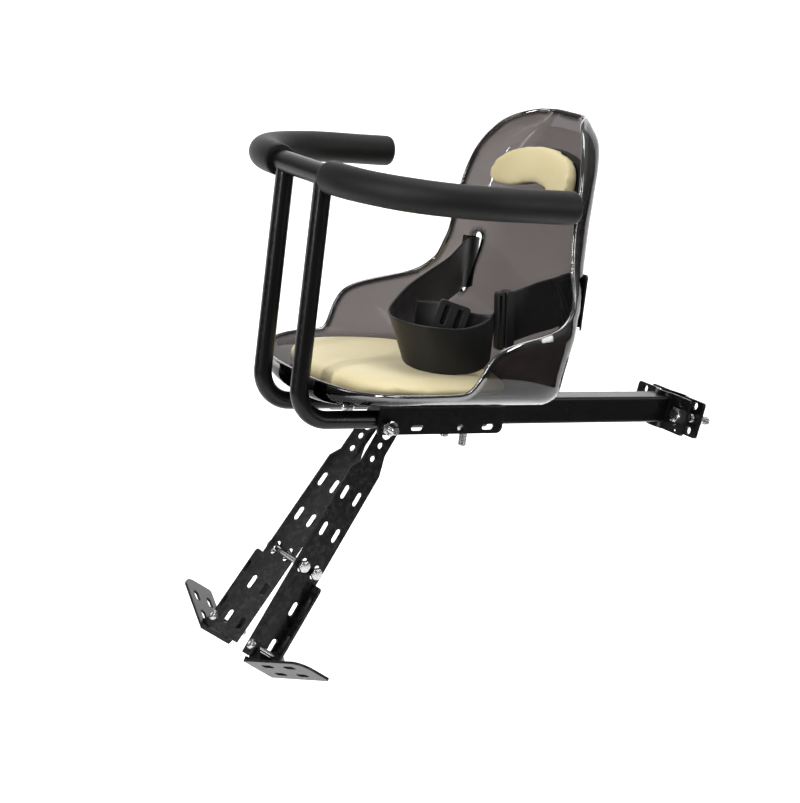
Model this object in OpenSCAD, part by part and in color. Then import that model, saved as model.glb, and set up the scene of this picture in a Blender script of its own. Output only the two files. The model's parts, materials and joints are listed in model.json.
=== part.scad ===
// Front-mounted child bicycle seat.
// A clear bucket seat on a steel bracket that slides along a square beam.
// The beam clamps to the seat post, two slotted legs straddle the down tube.
// +X points to the rear, +Y to the rider's right, +Z up. Millimetres.
// Origin: where the axis of the clamped post crosses the axis of the beam.

/* [Clamp] */
// Diameter of the post that the clamp grips
post_d = 27.2; // [25.4:0.1:31.8]
// Backward lean of the post against the beam's normal, degrees
post_lean = 9.7; // [5:0.1:15]
// Height of the two clamp halves
clamp_h = 35.5; // [30:0.5:40]
// Sheet thickness of the clamp halves
clamp_t = 3; // [2.5:0.5:4]

/* [Beam] */
// Outer side of the square beam
beam_w = 25; // [22:0.5:26]
// Wall of the square beam
beam_t = 2; // [1.5:0.1:2.5]
// Distance from the post axis to the beam's front end
beam_len = 327; // [325:1:335]

/* [Bracket] */
// Outer width of the folded seat bracket
bracket_w = 91; // [90:0.5:94]
// Sheet thickness of the bracket
bracket_t = 2.4; // [2:0.1:2.5]
// Front edge of the bracket, measured forward from the post axis
bracket_front = 352.5; // [350:0.5:356]
// Rear edge of the bracket
bracket_rear = 222.5; // [215:0.5:224]
// Height of the bracket's lower edge
bracket_low = -11.5; // [-12.5:0.5:-10]

/* [Handrail] */
// Diameter of the two posts
rail_d = 16; // [14:0.5:16]
// Diameter of the curved top bar
bar_d = 19; // [18:0.5:20]
// Wall of the rail tubes
rail_t = 1.5; // [1:0.1:2]
// Half of the distance between the posts
post_y = 34.4; // [34.2:0.1:34.5]
// Position of the posts forward of the seat post
post_x = -429; // [-436:1:-428]
// Height of the top bar above the beam axis
bar_z = 212; // [190:1:230]
// Radius of the bar's two corners
bar_r = 105; // [95:1:110]
// Outer diameter of the foam sleeves
foam_d = 28.4; // [26:0.2:30]
// Where the foam sleeves end
foam_end = -254.5; // [-262:0.5:-250]

/* [Shell] */
// Wall thickness of the clear shell
shell_t = 4; // [3:0.5:4.5]
// Half width of the shell at its sides
shell_b = 136; // [130:1:138]
// Height of the belt slots' centre
slot_z = 121; // [115:1:125]
// Height of each belt slot
slot_h = 58; // [54:1:62]
// Width of each belt slot
slot_w = 9; // [7:0.5:10]

/* [Cushions] */
// Thickness of the seat cushion at its middle
pad_t = 19; // [14:1:21]
// Thickness of the head cushion
head_t = 11; // [8:0.5:12]
// Thickness of the base behind the head cushion
base_t = 8; // [5:0.5:9]

/* [Belt] */
// Width of the webbing
web_w = 46; // [42:1:48]
// Thickness of the webbing
web_t = 1.8; // [1.4:0.1:2]

/* [Legs] */
// Forward slant of the legs from the vertical, degrees
leg_tilt = 30; // [22:1:38]
// Sheet thickness of the legs
leg_t = 2.5; // [2:0.1:2.5]
// Half width of the leg's slotted part
leg_hw = 15.6; // [15:0.1:16.5]
// Distance from the pivot to the leg's lower end
leg_len = 250; // [248:1:251]
// Spacing of the slot rows
row_pitch = 37.2; // [36:0.1:38]
// Spacing of the two slot columns
col_gap = 15.2; // [14.5:0.1:15.5]
// Outward splay of the legs, degrees
splay = 3.7; // [3.4:0.1:3.8]

/* [Footrests] */
// Length of a footrest plate
foot_len = 78; // [70:1:84]
// Width of a footrest plate
foot_w = 35; // [33:1:36]
// Upward slant of the footrests in use, degrees
foot_up = 20; // [15:1:24]

/* [Hidden] */

pivot_x = -315;
pivot_z = -1;
bolt_r = 4;
shell_cx = -310;
bend_r = 30;
lock_x = [-253.5, -233];
seat_screw_x = [-283, -243];
seat_screw_y = 22;
top_z = beam_w / 2 + 0.3;
deck_z = top_z + bracket_t;
leg_y = 16.25;
hinge_d = 240;
hinge_n = 7.4;
black = "#141416";
zinc = "#b9bcc0";

// ---------- shared shapes ----------
module hex_prism(af, h) { cylinder(d = af / cos(30), h = h, $fn = 6); }
module ring(ro, ri, h) { difference() { cylinder(r = ro, h = h, $fn = 48); translate([0, 0, -1]) cylinder(r = ri, h = h + 2, $fn = 48); } }
// hexagon bolt along +Z, underside of the head at z = 0
module bolt(r, len, af, hh) {
  translate([0, 0, -hh]) intersection() { hex_prism(af, hh); translate([0, 0, -1]) cylinder(r = af * 0.56, h = hh + 1.01, $fn = 48); }
  translate([0, 0, -0.01]) cylinder(r = r, h = len, $fn = 32);
}
module nut(r, af, h) { difference() { hex_prism(af, h); translate([0, 0, -1]) cylinder(r = r + 0.05, h = h + 2, $fn = 32); } }
module slot2d(w, l) { translate([0, (l - w) / 2]) circle(d = w, $fn = 24); translate([0, -(l - w) / 2]) circle(d = w, $fn = 24); square([w, l - w], center = true); }
module round_rect(x0, x1, y0, y1, r) {
  translate([x0 + r, y0]) square([x1 - x0 - 2 * r, y1 - y0]);
  translate([x0, y0 + r]) square([x1 - x0, y1 - y0 - 2 * r]);
  for (x = [x0 + r, x1 - r], y = [y0 + r, y1 - r]) translate([x, y]) circle(r = r, $fn = 32);
}

// ---------- beam and clamp ----------
post_r = post_d / 2;
clamp_mid = -3.3;
gap = 7.2;
module clamp_half_flat() {
  // section across the post: an arc with a flange on each side, x < 0
  difference() {
    union() {
      intersection() {
        circle(r = post_r + clamp_t, $fn = 96);
        translate([-30, -30]) square([30 - gap, 60]);
      }
      for (s = [-1, 1]) translate([-gap - clamp_t, s > 0 ? 11.5 : -41]) square([clamp_t, 29.5]);
    }
    circle(r = post_r, $fn = 96);
  }
}
module clamp_half() {
  difference() {
    translate([0, 0, clamp_mid - clamp_h / 2]) linear_extrude(clamp_h) clamp_half_flat();
    for (y = [-29, 29]) {
      for (z = [-12.3, 12.3]) translate([-20, y, clamp_mid + z]) rotate([0, 90, 0]) cylinder(r = 3.7, h = 20, $fn = 32);
      translate([-20, y, clamp_mid]) rotate([0, 90, 0]) cylinder(r = bolt_r + 0.15, h = 20, $fn = 32);
    }
    // rounded outer corners of the flanges
    for (s = [-1, 1], z = [-1, 1])
      translate([-20, s * 41, clamp_mid + z * clamp_h / 2]) rotate([0, 90, 0]) difference() {
        cube([6, 6, 60], center = true);
        translate([z * 3, -s * 3, -31]) cylinder(r = 3, h = 62, $fn = 32);
      }
  }
}
module post_frame() { rotate([0, post_lean, 0]) children(); }
module beam() color(black) {
  post_frame() clamp_half();
  difference() {
    translate([-beam_len, 0, 0]) rotate([0, 90, 0]) translate([0, 0, 0]) linear_extrude(beam_len - 8) difference() {
      round_rect(-beam_w / 2, beam_w / 2, -beam_w / 2, beam_w / 2, 2.5);
      round_rect(-beam_w / 2 + beam_t, beam_w / 2 - beam_t, -beam_w / 2 + beam_t, beam_w / 2 - beam_t, 1);
    }
    post_frame() translate([0, 0, -60]) cylinder(r = post_r + clamp_t - 0.6, h = 120, $fn = 96);
    // the pivot bore
    translate([pivot_x, -30, pivot_z]) rotate([-90, 0, 0]) cylinder(r = bolt_r + 0.1, h = 60, $fn = 32);
    // slots for the two lock bolts, through top and bottom
    translate([(-300 - 224) / 2, 0, -30]) linear_extrude(60) rotate(90) slot2d(2 * bolt_r + 0.6, 76);
  }
}
module beam_end_plug() color("#1c1c1e") {
  translate([-beam_len - 2.2, 0, 0]) rotate([0, 90, 0]) linear_extrude(2.2) round_rect(-beam_w / 2, beam_w / 2, -beam_w / 2, beam_w / 2, 2.5);
  w = beam_w / 2 - beam_t - 0.05;
  translate([-beam_len - 0.01, 0, 0]) rotate([0, 90, 0]) linear_extrude(5) difference() {
    round_rect(-w, w, -w, w, 1);
    round_rect(-w + 2, w - 2, -w + 2, w - 2, 1);
  }
}
module clamp_rear_half() color(black) post_frame() mirror([1, 0, 0]) clamp_half();
module clamp_bolts() color(zinc) post_frame() for (y = [-29, 29])
  translate([-gap - clamp_t, y, clamp_mid]) rotate([0, 90, 0]) bolt(bolt_r, 38, 13, 5.3);
module clamp_nuts() color(zinc) post_frame() for (y = [-29, 29])
  translate([gap + clamp_t, y, clamp_mid]) rotate([0, 90, 0]) nut(bolt_r, 13, 6.5);

// ---------- leg pivot ----------
module pivot_bolt() color(zinc) translate([pivot_x, -17.7, pivot_z]) rotate([-90, 0, 0]) bolt(bolt_r, 42.5, 13, 5.3);
module pivot_spacers() color(zinc) for (s = [-1, 1])
  translate([pivot_x, s > 0 ? 12.5 : -14.9, pivot_z]) rotate([-90, 0, 0]) ring(8, bolt_r + 0.05, 2.4);
module pivot_nut() color(zinc) translate([pivot_x, 17.7, pivot_z]) rotate([-90, 0, 0]) nut(bolt_r, 13, 6.3);

// ---------- seat bracket ----------
module bracket_side2d() {
  // x to the right, z up, drawn for the side plates
  difference() {
    union() {
      translate([-bracket_front, bracket_low + 6]) square([bracket_front - bracket_rear, deck_z - bracket_low - 6]);
      translate([-bracket_front + 3, bracket_low]) square([bracket_front - bracket_rear - 9, 7]);
      translate([-bracket_front + 3, bracket_low + 3]) circle(r = 3, $fn = 32);
      translate([-bracket_front, bracket_low + 3]) square([6, 4]);
      translate([-bracket_rear - 6, bracket_low + 6]) circle(r = 6, $fn = 32);
    }
    for (x = [-312.3, -238]) translate([x, -5.6]) rotate(90) slot2d(5.5, 12.5);
    translate([-267.4, -5.7]) circle(r = 3, $fn = 24);
    translate([-343, -4]) circle(r = bolt_r + 0.1, $fn = 32);
  }
}
module seat_bracket() color(black) difference() {
  union() {
    for (s = [-1, 1]) translate([0, s > 0 ? bracket_w / 2 : -bracket_w / 2 + bracket_t, 0]) rotate([90, 0, 0]) linear_extrude(bracket_t) bracket_side2d();
    translate([-bracket_front, -bracket_w / 2, top_z]) cube([bracket_front - bracket_rear, bracket_w, bracket_t]);
  }
  for (x = lock_x) translate([x, 0, 0]) cylinder(r = bolt_r + 0.1, h = 40, $fn = 32);
  for (x = seat_screw_x, s = [-1, 1]) translate([x, s * seat_screw_y, 0]) cylinder(r = 3.1, h = 40, $fn = 32);
  // rounded outer folds
  for (s = [-1, 1]) translate([-300, s * bracket_w / 2, deck_z]) rotate([0, 90, 0]) translate([0, 0, -100]) difference() {
    cube([5, 5, 400], center = true);
    translate([2.5, -s * 2.5, -201]) cylinder(r = 2.5, h = 402, $fn = 32);
  }
}
lock_up = [0, 9];
module lock_bolts() color(zinc) for (i = [0, 1]) translate([lock_x[i], 0, deck_z]) rotate([180, 0, 0]) {
  // low round head under the shell, square neck left plain
  translate([0, 0, -0.9]) cylinder(r = 9, h = 0.9, $fn = 48);
  translate([0, 0, -0.01]) cylinder(r = bolt_r, h = deck_z + 26 + lock_up[i], $fn = 32);
}
module lock_washers() color(zinc) for (x = lock_x) translate([x, 0, -beam_w / 2 - 2]) ring(9, bolt_r + 0.05, 1.7);
module lock_nuts() color(zinc) for (x = lock_x) translate([x, 0, -beam_w / 2 - 8.5]) nut(bolt_r, 13, 6.5);
// one short bolt a side ties the handrail's run to the bracket
module handrail_bolts() color(zinc) for (m = [0, 1]) mirror([0, m, 0])
  translate([-343, post_y - rail_d / 2, -4]) rotate([-90, 0, 0]) {
    translate([0, 0, -3.4]) cylinder(r = 6.5, h = 3.4, $fn = 48);
    translate([0, 0, -0.01]) cylinder(r = bolt_r, h = 33.9, $fn = 32);
  }
module handrail_nuts() color(zinc) for (s = [-1, 1]) translate([-343, s > 0 ? bracket_w / 2 : -bracket_w / 2 - 6.5, -4]) rotate([-90, 0, 0]) nut(bolt_r, 13, 6.5);

// ---------- handrail ----------
run_end = -236;
bar_end = foam_end - 4;
module pipe(ro, ri, l) { linear_extrude(l) difference() { circle(r = ro, $fn = 64); if (ri > 0) circle(r = ri, $fn = 64); } }
module bend(rb, ro, ri) { rotate_extrude(angle = 90, $fn = 144) translate([rb, 0]) difference() { circle(r = ro, $fn = 64); if (ri > 0) circle(r = ri, $fn = 64); } }
module corner(s, ro, ri) translate([post_x + bar_r, s * 50, bar_z]) rotate([0, 0, s > 0 ? 90 : 180]) bend(bar_r, ro, ri);
module arm(s, ro, ri, x1) translate([post_x + bar_r, s * (50 + bar_r), bar_z]) rotate([0, 90, 0]) pipe(ro, ri, x1 - post_x - bar_r);
module top_bar() {
  translate([post_x, -50, bar_z]) rotate([-90, 0, 0]) pipe(bar_d / 2, bar_d / 2 - rail_t, 100);
  for (s = [-1, 1]) { corner(s, bar_d / 2, bar_d / 2 - rail_t); arm(s, bar_d / 2, bar_d / 2 - rail_t, bar_end); }
}
// the posts are coped and welded to the bar
module posts() for (s = [-1, 1]) difference() {
  translate([post_x, s * post_y, bend_r]) pipe(rail_d / 2, rail_d / 2 - rail_t, bar_z - bend_r);
  translate([post_x, -60, bar_z]) rotate([-90, 0, 0]) cylinder(r = bar_d / 2 - rail_t / 2, h = 120, $fn = 64);
}
module low_bends() for (s = [-1, 1]) translate([post_x + bend_r, s * post_y, bend_r]) rotate([90, 0, 0]) rotate([0, 0, 180]) bend(bend_r, rail_d / 2, rail_d / 2 - rail_t);
module runs() for (s = [-1, 1]) difference() {
  translate([post_x + bend_r, s * post_y, 0]) rotate([0, 90, 0]) pipe(rail_d / 2, rail_d / 2 - rail_t, run_end - post_x - bend_r);
  translate([-343, 0, -4]) rotate([-90, 0, 0]) translate([0, 0, -80]) cylinder(r = bolt_r + 0.1, h = 160, $fn = 32);
}
module handrail() color(black) { top_bar(); posts(); low_bends(); runs(); }
module foam_grip(s) color("#242426") {
  translate([post_x, s > 0 ? 45 : -50, bar_z]) rotate([-90, 0, 0]) pipe(foam_d / 2, bar_d / 2, 5);
  corner(s, foam_d / 2, bar_d / 2);
  arm(s, foam_d / 2, bar_d / 2, bar_end);
  translate([bar_end, s * (50 + bar_r), bar_z]) rotate([0, 90, 0]) {
    cylinder(r = foam_d / 2, h = 1.5, $fn = 64);
    translate([0, 0, 1.5]) cylinder(r1 = foam_d / 2, r2 = foam_d / 2 - 2.5, h = 2.5, $fn = 64);
  }
}
module left_foam_grip() foam_grip(-1);
module right_foam_grip() foam_grip(1);

// ---------- clear shell ----------
pow_b = 5;
pow_f = 2.5;
function tab(z, t) = lookup(z, t);
rear_a = [[10, 75], [15, 82], [20, 88.5], [26, 95], [34, 100.5], [41, 104], [52, 106.5], [67, 109.5], [100, 117.5], [121, 123.5], [135, 128], [150, 131.5], [165, 133.5], [180, 135.1], [195, 136.6], [205, 138], [215, 139.4], [226, 142.1], [239, 146], [249, 149], [258, 150.6], [270, 150], [300, 150]];
side_b = [[10, 0], [84, 0], [91, -0.7], [97, -2.1], [104, -5], [115, -8], [125, -12.7], [135, -18.2], [150, -26.3], [165, -30], [180, -33.1], [195, -35.2], [210, -37.7], [225, -42.2], [239, -49.5], [249, -56.8], [258, -64.7], [264, -73], [270, -84], [276, -94], [300, -105]];
front_a = 108;
levels = [10, 16, 21, 27, 34, 42, 67, 84, 97, 106, 114, 122, 132, 146, 166, 190, 212, 228, 240, 250, 258, 265, 271, 278, 300];
function spow(c, e) = c < 0 ? -pow(-c, e) : pow(c, e);
function shell_pt(t, z, k) = cos(t) >= 0
  ? [shell_cx + (tab(z, rear_a) - k) * spow(cos(t), 2 / pow_b), (shell_b + tab(z, side_b) - k) * spow(sin(t), 2 / pow_b), z]
  : [shell_cx + (front_a - k) * spow(cos(t), 2 / pow_f), (shell_b + tab(z, side_b) - k) * spow(sin(t), 2 / pow_f), z];
ring_n = 88;
// even steps along the flat sides need a warped angle
function warp(i) = let (q = i * 360 / ring_n) q + 7 * sin(4 * q) * 0.5;
module shell_walls(k) {
  pts = [for (z = levels) for (i = [0 : ring_n - 1]) shell_pt(warp(i), z, k)];
  m = len(levels);
  faces = concat(
    [[for (i = [0 : ring_n - 1]) i]],
    [for (j = [0 : m - 2]) for (i = [0 : ring_n - 1]) let (a = j * ring_n + i, b = j * ring_n + (i + 1) % ring_n) [a, a + ring_n, b + ring_n]],
    [for (j = [0 : m - 2]) for (i = [0 : ring_n - 1]) let (a = j * ring_n + i, b = j * ring_n + (i + 1) % ring_n) [a, b + ring_n, b]],
    [[for (i = [ring_n - 1 : -1 : 0]) (m - 1) * ring_n + i]]);
  polyhedron(points = pts, faces = faces, convexity = 6);
}
// dished underside, seen from the front: height above the bracket at a distance y
function dish(y) = 0.0014 * y * y;
under_y = [for (y = [0 : 10 : 110]) y];
under_more = [[120, 21.6], [126.5, 26], [131, 31.5], [134.5, 40], [138, 52], [142, 70]];
function under(k) = concat([for (y = under_y) [y, deck_z + dish(y) + k]], [for (p = under_more) [p[0] - k * 1.0, deck_z + p[1] + k * 0.35]]);
module under2d(k) {
  h = under(k);
  n = len(h);
  polygon(concat([for (i = [n - 1 : -1 : 1]) [-h[i][0], h[i][1]]], h, [[160, 90], [160, 320], [-160, 320], [-160, 90]]));
}
// rounded heel of the shell, seen from the side
module heel2d(k) polygon([[-440, deck_z - 1 + k], [-253, deck_z - 1 + k], [-236, deck_z + 0.5 + k], [-223, deck_z + 4.5 + k], [-214, deck_z + 10.5 + k], [-208 - k * 0.5, deck_z + 17.5 + k], [-203 - k, deck_z + 27 + k], [-195 - k, 66], [-160, 66], [-160, 320], [-440, 320]]);
// the rim, seen from the side
rim = [[-440, 36], [-418, 37], [-402, 38], [-381, 41], [-350, 43.5], [-326, 44.5], [-319, 46.5], [-315, 51], [-311, 60], [-306.5, 71], [-303, 78], [-298, 83.5], [-290, 88], [-280, 91.5], [-264, 95.5], [-245, 100], [-231, 104.5], [-222, 109.5], [-216, 115.5], [-213, 123], [-212, 132], [-211.7, 150], [-211.6, 170], [-211, 185], [-209.3, 200], [-206.8, 214], [-204.3, 228], [-201, 240], [-197, 250], [-193, 258.5], [-188.5, 265], [-183, 270], [-174, 274], [-163, 276]];
module rim2d() polygon(concat(rim, [[-150, 276.5], [-150, 0], [-440, 0]]));
module bulk(k) intersection() {
  shell_walls(k);
  translate([-440, 0, 0]) rotate([90, 0, 90]) linear_extrude(300) under2d(k);
  translate([0, 200, 0]) rotate([90, 0, 0]) linear_extrude(400) heel2d(k);
}
module seat_shell() color([0.33, 0.31, 0.31, 0.55]) difference() {
  intersection() {
    bulk(0);
    translate([0, 200, 0]) rotate([90, 0, 0]) linear_extrude(400) rim2d();
  }
  bulk(shell_t);
  for (s = [-1, 1]) translate([-230, s * 84, slot_z]) rotate([90, 0, 90]) linear_extrude(80) slot2d(slot_w, slot_h);
  for (x = seat_screw_x, s = [-1, 1]) translate([x, s * seat_screw_y, 0]) cylinder(r = 3.3, h = 40, $fn = 24);
  // round pocket for each lock bolt's low head
  for (x = lock_x) translate([x, 0, 0]) cylinder(r = 10.5, h = deck_z + 1.4, $fn = 32);
}
floor_z = deck_z + shell_t;
module seat_screws() color(zinc) for (x = seat_screw_x, s = [-1, 1]) translate([x, s * seat_screw_y, floor_z + 2.25]) rotate([180, 0, 0]) {
  translate([0, 0, -2.5]) cylinder(r1 = 4.4, r2 = 6, h = 2.5, $fn = 32);
  translate([0, 0, -0.01]) cylinder(r = 3, h = 14.45, $fn = 32);
}
module seat_screw_washers() color(zinc) for (x = seat_screw_x, s = [-1, 1]) translate([x, s * seat_screw_y, floor_z + 1.25]) ring(7.5, 3.05, 1);
module seat_screw_nuts() color(zinc) for (x = seat_screw_x, s = [-1, 1]) translate([x, s * seat_screw_y, top_z - 5]) nut(3, 10, 5);

// ---------- cushions ----------
module oval2d(a, b, e, n = 72) polygon([for (i = [0 : n - 1]) let (t = i * 360 / n) [a * spow(cos(t), 2 / e), b * spow(sin(t), 2 / e)]]);
module seat_cushion() color("#d8cda0") intersection() {
  translate([-314, 0, 0]) linear_extrude(80) oval2d(90, 108, 2.7);
  translate([-440, 0, 0]) rotate([90, 0, 90]) linear_extrude(300) polygon(concat(
    [for (y = [-110 : 10 : 110]) [y, floor_z + 4.9 + dish(abs(y)) * 1.04]],
    [for (y = [110 : -10 : -110]) [y, floor_z + 3.2 + pad_t + 0.00052 * y * y]]));
}
function bean_low(y) = 199 + 8.5 * pow(cos(min(90, abs(y) * 1.75)), 2);
module bean(k, near, far) intersection() {
  rotate([90, 0, 90]) translate([0, 0, -240]) linear_extrude(80) polygon(concat(
    [for (t = [0 : 6 : 180]) [(62 - k) * cos(t), 208 + (36 - k) * spow(sin(t), 0.72)]],
    [[-62 + k, 206], [-60.5 + k, 202.5 + k]],
    [for (y = [-57 + k : 6 : 57 - k]) [y, bean_low(y) + k]],
    [[60.5 - k, 202.5 + k], [62 - k, 206]]));
  difference() {
    shell_walls(shell_t + near);
    shell_walls(shell_t + far);
  }
}
// a stiff base holds the head cushion off the backrest
module head_cushion() color("#dccf9f") bean(0, 0.4 + base_t, 0.4 + base_t + head_t);
module head_cushion_base() color("#161618") bean(2.5, 0.4, 0.3 + base_t);

// ---------- belt ----------
// a strap laid along plan points, with its lower and upper edge height at each
module strap(p, t) {
  n = len(p);
  // outward normals in plan
  function dir(i) = let (a = p[max(0, i - 1)], b = p[min(n - 1, i + 1)], v = [b[0] - a[0], b[1] - a[1]]) v / norm(v);
  pts = [for (i = [0 : n - 1]) let (d = dir(i), m = [-d[1], d[0]] * t / 2, l = p[i][4])
    each [[p[i][0] + m[0], p[i][1] + m[1], p[i][2]], [p[i][0] - m[0], p[i][1] - m[1], p[i][2]],
      [p[i][0] - m[0] + l * d[1], p[i][1] - m[1] - l * d[0], p[i][3]], [p[i][0] + m[0] + l * d[1], p[i][1] + m[1] - l * d[0], p[i][3]]]];
  faces = concat([[0, 1, 2, 3]], [for (i = [0 : n - 2]) for (k = [0 : 3]) let (a = 4 * i + k, b = 4 * i + (k + 1) % 4) each [[a, a + 4, b + 4], [a, b + 4, b]]],
    [[4 * n - 1, 4 * n - 2, 4 * n - 3, 4 * n - 4]]);
  polyhedron(points = pts, faces = faces, convexity = 8);
}
// each row: x, y, lower edge, upper edge, lean of the upper edge
right_run = [[-194.2, 102.4, 97, 143, 0], [-188.9, 95.8, 97, 143, 0], [-185.6, 90, 97, 143, 0], [-186.6, 86.6, 97, 143, 0], [-191.5, 83.6, 97, 143, 0], [-201, 81.4, 97, 143, 0], [-215, 69.5, 94, 140, 0], [-245, 48, 85, 129, 0], [-275, 28, 75, 121, 0], [-297, 12, 66, 112, 4], [-311, -3, 57, 101.5, 11], [-319.5, -20, 50, 91.5, 19], [-321, -38, 48, 89, 17], [-315, -54, 48, 89, 13], [-300, -64, 48, 89.5, 9], [-282, -67.5, 49.5, 93, 5], [-269, -68.5, 54, 98.5, 2], [-262.8, -69, 62, 107, 0]];
left_run = [[-194.2, -102.4, 97, 143, 0], [-188.9, -95.8, 97, 143, 0], [-185.6, -90, 97, 143, 0], [-186.6, -86.6, 97, 143, 0], [-191.5, -84, 97, 143, 0], [-201, -82.2, 97, 143, 0], [-210, -78.6, 92.5, 138.5, 0], [-224, -73.8, 87, 133, 0], [-236, -70.8, 81.5, 127.5, 0], [-244.6, -69.8, 77.5, 123.5, 0]];
// the loose end, led back inside the loop through the slider
tail_run = [[-262.8, -64.6, 55, 101, 0], [-268, -60, 54, 100, 0], [-276, -55.5, 54, 100, 0], [-290, -48, 57, 103, 0], [-300, -39.5, 60, 106, 0], [-306, -26, 58, 104, 0], [-306.5, -12, 55, 101, 0], [-301, 0, 53.5, 99.5, 0]];
module right_belt_strap() color(black) strap(right_run, web_t);
module left_belt_strap() color(black) strap(left_run, web_t);
module belt_tail() color(black) strap(tail_run, web_t);
module buckle_frame() translate([-253.5, -69.4, 98]) rotate([0, -8, 5]) children();
module buckle_socket() color("#1a1a1c") buckle_frame() difference() {
  rotate([90, 0, 0]) translate([0, 0, -5]) linear_extrude(10) round_rect(0, 8.5, -26, 26, 2.5);
  translate([-1, -2.6, -22]) cube([7, 5.2, 44]);
  translate([5, -3, -24.4]) cube([10, 4.2, 48.8]);
}
module buckle_tongue() color("#1a1a1c") buckle_frame() {
  rotate([90, 0, 0]) translate([0, 0, -3]) linear_extrude(6) difference() {
    round_rect(-8.5, -0.5, -26, 26, 2.5);
    translate([-5, 0]) slot2d(3, 47);
  }
  for (z = [-17, 0, 17]) translate([-1, -2.2, z - 3]) cube([6.5, 4.4, 6]);
}
module belt_slider() color("#1a1a1c") translate([-292.3, -51.2, 108]) rotate([0, 12.6, -31]) rotate([90, 0, 0]) translate([0, 0, -1.6]) linear_extrude(3.2) difference() {
  round_rect(-14, 14, -25, 0, 3);
  for (x = [-6, 6]) translate([x, -12.5]) slot2d(5, 19);
}

// ---------- legs ----------
row0 = 83.9;
module leg_slots() for (i = [0 : 4], s = [-1, 1]) translate([s * col_gap / 2, -(row0 + i * row_pitch)]) slot2d(5.6, 13.5);
module leg_flat2d() difference() {
  union() {
    polygon([[-9.6, -14], [9.6, -14], [9.6, -38], [leg_hw, -56], [leg_hw, -leg_len + 3], [leg_hw - 3, -leg_len], [-leg_hw + 3, -leg_len], [-leg_hw, -leg_len + 3], [-leg_hw, -62], [-9.6, -52]]);
  }
  translate([0, -19.8]) circle(r = 5.6, $fn = 32);
  for (d = [32.4, 45.9]) translate([0, -d]) circle(r = 2.9, $fn = 24);
  leg_slots();
}
// leg frame: +X rear, +Z up along the leg, +Y outward
module leg_frame() translate([pivot_x, 0, pivot_z]) rotate([0, leg_tilt, 0]) children();
module leg_low() translate([0, leg_y, -15]) rotate([splay, 0, 0]) translate([0, 0, 15]) children();
module leg_body() leg_frame() {
  // upper eye, parallel to the beam's side
  difference() {
    translate([0, leg_y + leg_t / 2, 0]) rotate([90, 0, 0]) linear_extrude(leg_t) union() { circle(r = 8.2, $fn = 48); polygon([[-8.2, 0], [8.2, 0], [9.6, -15.2], [-9.6, -15.2]]); }
    translate([0, 0, 0]) rotate([-90, 0, 0]) cylinder(r = bolt_r + 0.08, h = 30, $fn = 48);
    translate([0, 0, -19.8]) rotate([-90, 0, 0]) cylinder(r = 5.6, h = 30, $fn = 32);
  }
  leg_low() {
    translate([0, leg_t / 2, 0]) rotate([90, 0, 0]) linear_extrude(leg_t) leg_flat2d();
    // flanges bent outward along the lower part
    for (s = [-1, 1]) difference() {
      translate([s > 0 ? leg_hw - leg_t : -leg_hw, 0, 0]) rotate([90, 0, 90]) linear_extrude(leg_t) union() {
        translate([-leg_t / 2, -leg_len]) square([13 + leg_t / 2 - 4, leg_len - 168]);
        translate([-leg_t / 2, -leg_len + 4]) square([13 + leg_t / 2, leg_len - 168 - 8]);
        for (z = [-leg_len + 4, -172]) translate([9, z]) circle(r = 4, $fn = 32);
      }
      for (i = [3, 4]) translate([-30, 8.6, -(row0 + i * row_pitch) + 9]) rotate([90, 0, 90]) linear_extrude(60) slot2d(3.6, 12);
      translate([-30, hinge_n, -hinge_d]) rotate([0, 90, 0]) cylinder(r = 2.6, h = 60, $fn = 32);
    }
  }
}
module left_leg() color(black) mirror([0, 1, 0]) leg_body();
module right_leg() color(black) leg_body();
// two long bolts through the third slot row tie the legs together above the down tube
bolt_d3 = row0 + 2 * row_pitch;
tie_y = leg_y + (bolt_d3 - 15) * tan(splay) + leg_t / 2 + 1;
module leg_bolts() color(zinc) leg_frame() for (x = [-col_gap / 2, col_gap / 2])
  translate([x, -tie_y, -bolt_d3]) rotate([-90, 0, 0]) bolt(2.7, 2 * tie_y + 9, 10, 4);
module leg_nuts() color(zinc) leg_frame() for (x = [-col_gap / 2, col_gap / 2])
  translate([x, tie_y, -bolt_d3]) rotate([-90, 0, 0]) nut(2.7, 10, 5);

// ---------- footrests ----------
module hinge_frame() leg_frame() leg_low() translate([0, hinge_n, -hinge_d]) children();
module foot_plate2d() difference() {
  // +X outward, +Y toward the rear of the seat
  union() {
    translate([0, -foot_w / 2]) square([foot_len - 14, foot_w]);
    translate([0, -foot_w / 2 + 14]) square([foot_len, foot_w - 17]);
    translate([foot_len - 14, -foot_w / 2 + 14]) circle(r = 14, $fn = 64);
    translate([foot_len - 3, foot_w / 2 - 3]) circle(r = 3, $fn = 32);
    translate([0, -foot_w / 2 + 14]) square([foot_len - 3, foot_w - 14]);
  }
  for (x = [22, 52], y = [-8, 8]) translate([x, y]) rotate(90) slot2d(5.6, 15);
}
module footrest_body() hinge_frame() {
  ear_x = leg_hw - leg_t - 0.4;
  rotate([foot_up - splay, 0, 0]) {
    translate([0, 1, -17]) linear_extrude(2.4) rotate(90) mirror([0, 1, 0]) foot_plate2d();
    // lip folded down along the inner edge
    translate([-foot_w / 2, -1, -17]) cube([foot_w, 2.4, 5]);
    for (s = [-1, 1]) difference() {
      translate([s > 0 ? ear_x - 2.3 : -ear_x, 0, 0]) rotate([90, 0, 90]) linear_extrude(2.3) union() {
        circle(r = 5.2, $fn = 32);
        polygon([[-4.6, -2.4], [5.2, 0], [14, -14.7], [14, -15.5], [-1, -15.5]]);
      }
      translate([-30, 0, 0]) rotate([0, 90, 0]) cylinder(r = 2.56, h = 60, $fn = 32);
    }
  }
}
module left_footrest() color(black) mirror([0, 1, 0]) footrest_body();
module right_footrest() color(black) footrest_body();
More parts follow.
